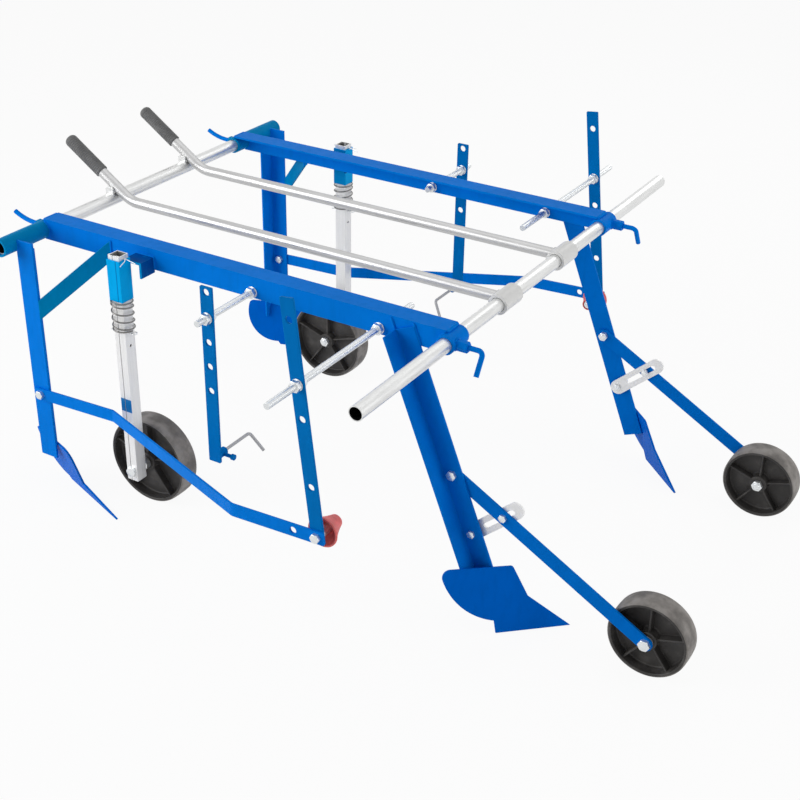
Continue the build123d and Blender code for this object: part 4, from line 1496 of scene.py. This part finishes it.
    def brace_edge(self, hand: int) -> list[Vector]:
        """Path along one flat of the leg brace where it meets the beam.

        Args:
            hand: Flat, -1 or 1.

        Returns:
            Both ends of the path.
        """
        top, low = Vector(self.brace_top), Vector(self.brace_low)
        along = (low - top).normalized()
        flat = Vector((along.y, -along.x, 0)).normalized()
        wide = along.cross(flat)
        ends = []
        for reach in (-0.5, 0.5):
            spot = top + flat * hand * self.strip[0] / 2 + wide * reach * self.strip[1]
            spot = spot + along * ((self.face - spot.y) / along.y)
            ends.append(self.side.at(spot.x, spot.y + self.plate_lift, spot.z))
        return ends

    def socket(self) -> list[Vector]:
        """Path round the guide wire's socket on the guide strip.

        Returns:
            Points of the closed path.
        """
        wire, strip = (self.side.box(part)[0] for part in ("guide_wire", "guide_strip"))
        x, z = wire.x + self.guide_wire, strip.z + self.socket_foot
        return self.curve(x, self.guide_face, z, self.socket_radius, ROUND)


@dataclass
class Lamp:
    """Square soft lamp."""

    name: str
    place: Triple
    size: float
    watts: float

    def build(self, aim: Vector) -> None:
        """Hang the lamp and turn it to the object.

        Args:
            aim: Point that it faces.
        """
        data = bpy.data.lights.new(self.name, "AREA")
        data.size = self.size
        data.energy = self.watts
        lamp = bpy.data.objects.new(self.name, data)
        lamp.location = self.place
        lamp.rotation_euler = (aim - Vector(self.place)).to_track_quat("-Z", "Y").to_euler()
        bpy.context.scene.collection.objects.link(lamp)


@dataclass
class Studio:
    """Floor, lamps, white surround and the camera."""

    floor: float = 14.0
    ambient: float = 0.34
    aim: Triple = (0.0, 0.0, 0.3)
    camera: Triple = (1.210493, -2.058732, 1.511312)
    heading: float = 30.726
    pitch: float = 60.991
    roll: float = 1.0893
    lens: float = 61.876
    sensor: float = 36.0
    shift: Pair = (0.00354, -0.00074)
    clip_end: float = 60.0
    lamps: tuple[Lamp, ...] = (
        Lamp("key", (-2.6, -2.4, 1.7), 2.4, 74.0),
        Lamp("fill", (3.3, 0.4, 1.1), 2.2, 34.0),
        Lamp("top", (-0.2, 0.6, 3.6), 3.0, 14.0),
        Lamp("back", (0.2, 3.0, 2.0), 1.2, 8.0),
    )

    def build(self) -> None:
        """Set up the stage."""
        bpy.context.scene.view_settings.view_transform = "Standard"
        self.build_floor()
        self.build_world()
        for lamp in self.lamps:
            lamp.build(Vector(self.aim))
        self.build_camera()

    def build_floor(self) -> None:
        """Lay the floor under the wheels."""
        half = self.floor
        mesh = bpy.data.meshes.new("floor")
        corners = [(-half, -half, 0), (half, -half, 0), (half, half, 0), (-half, half, 0)]
        mesh.from_pydata(corners, [], [(0, 1, 2, 3)])
        mesh.materials.append(FLOOR_WHITE.material())
        floor = bpy.data.objects.new("floor", mesh)
        bpy.context.scene.collection.objects.link(floor)

    def build_world(self) -> None:
        """White surround to the eye and to metal, softer as light."""
        world = bpy.data.worlds.new("surround")
        world.use_nodes = True
        board = Board(world.node_tree)
        strength = self.ambient + (1 - self.ambient) * seen(board)
        sockets = {"Color": (1, 1, 1, 1), "Strength": strength}
        white = board.node("ShaderNodeBackground", {}, sockets)
        board.node("ShaderNodeOutputWorld", {}, {"Surface": white})
        bpy.context.scene.world = world

    def build_camera(self) -> None:
        """Place the camera."""
        data = bpy.data.cameras.new("camera")
        data.lens = self.lens
        data.sensor_width = self.sensor
        data.shift_x, data.shift_y = self.shift
        data.clip_end = self.clip_end
        camera = bpy.data.objects.new("camera", data)
        place = Matrix.Translation(self.camera)
        for angle, axis in ((self.heading, "Z"), (self.pitch, "X"), (self.roll, "Z")):
            place = place @ Matrix.Rotation(radians(angle), 4, axis)
        camera.matrix_world = place
        bpy.context.scene.collection.objects.link(camera)
        bpy.context.scene.camera = camera


def main() -> None:
    """Build every class in order."""
    logging.basicConfig(level=logging.INFO, format="%(name)s: %(message)s")
    CadDress(CAD_FINISH, TUBE_FINISH).build()
    for side in Side:
        MouldedWheel(side, "front_wheel", "depth_wheel").build()
        MouldedWheel(side, "press_wheel", "packer_wheel").build()
        HandleGrip(side).build()
        ThreadedRods(side).build()
        PressSpring(side).build()
        FilmCone(side).build()
        Fasteners(side).build()
        Welds(side).build()
    Studio().build()


if __name__ == "__main__":
    main()
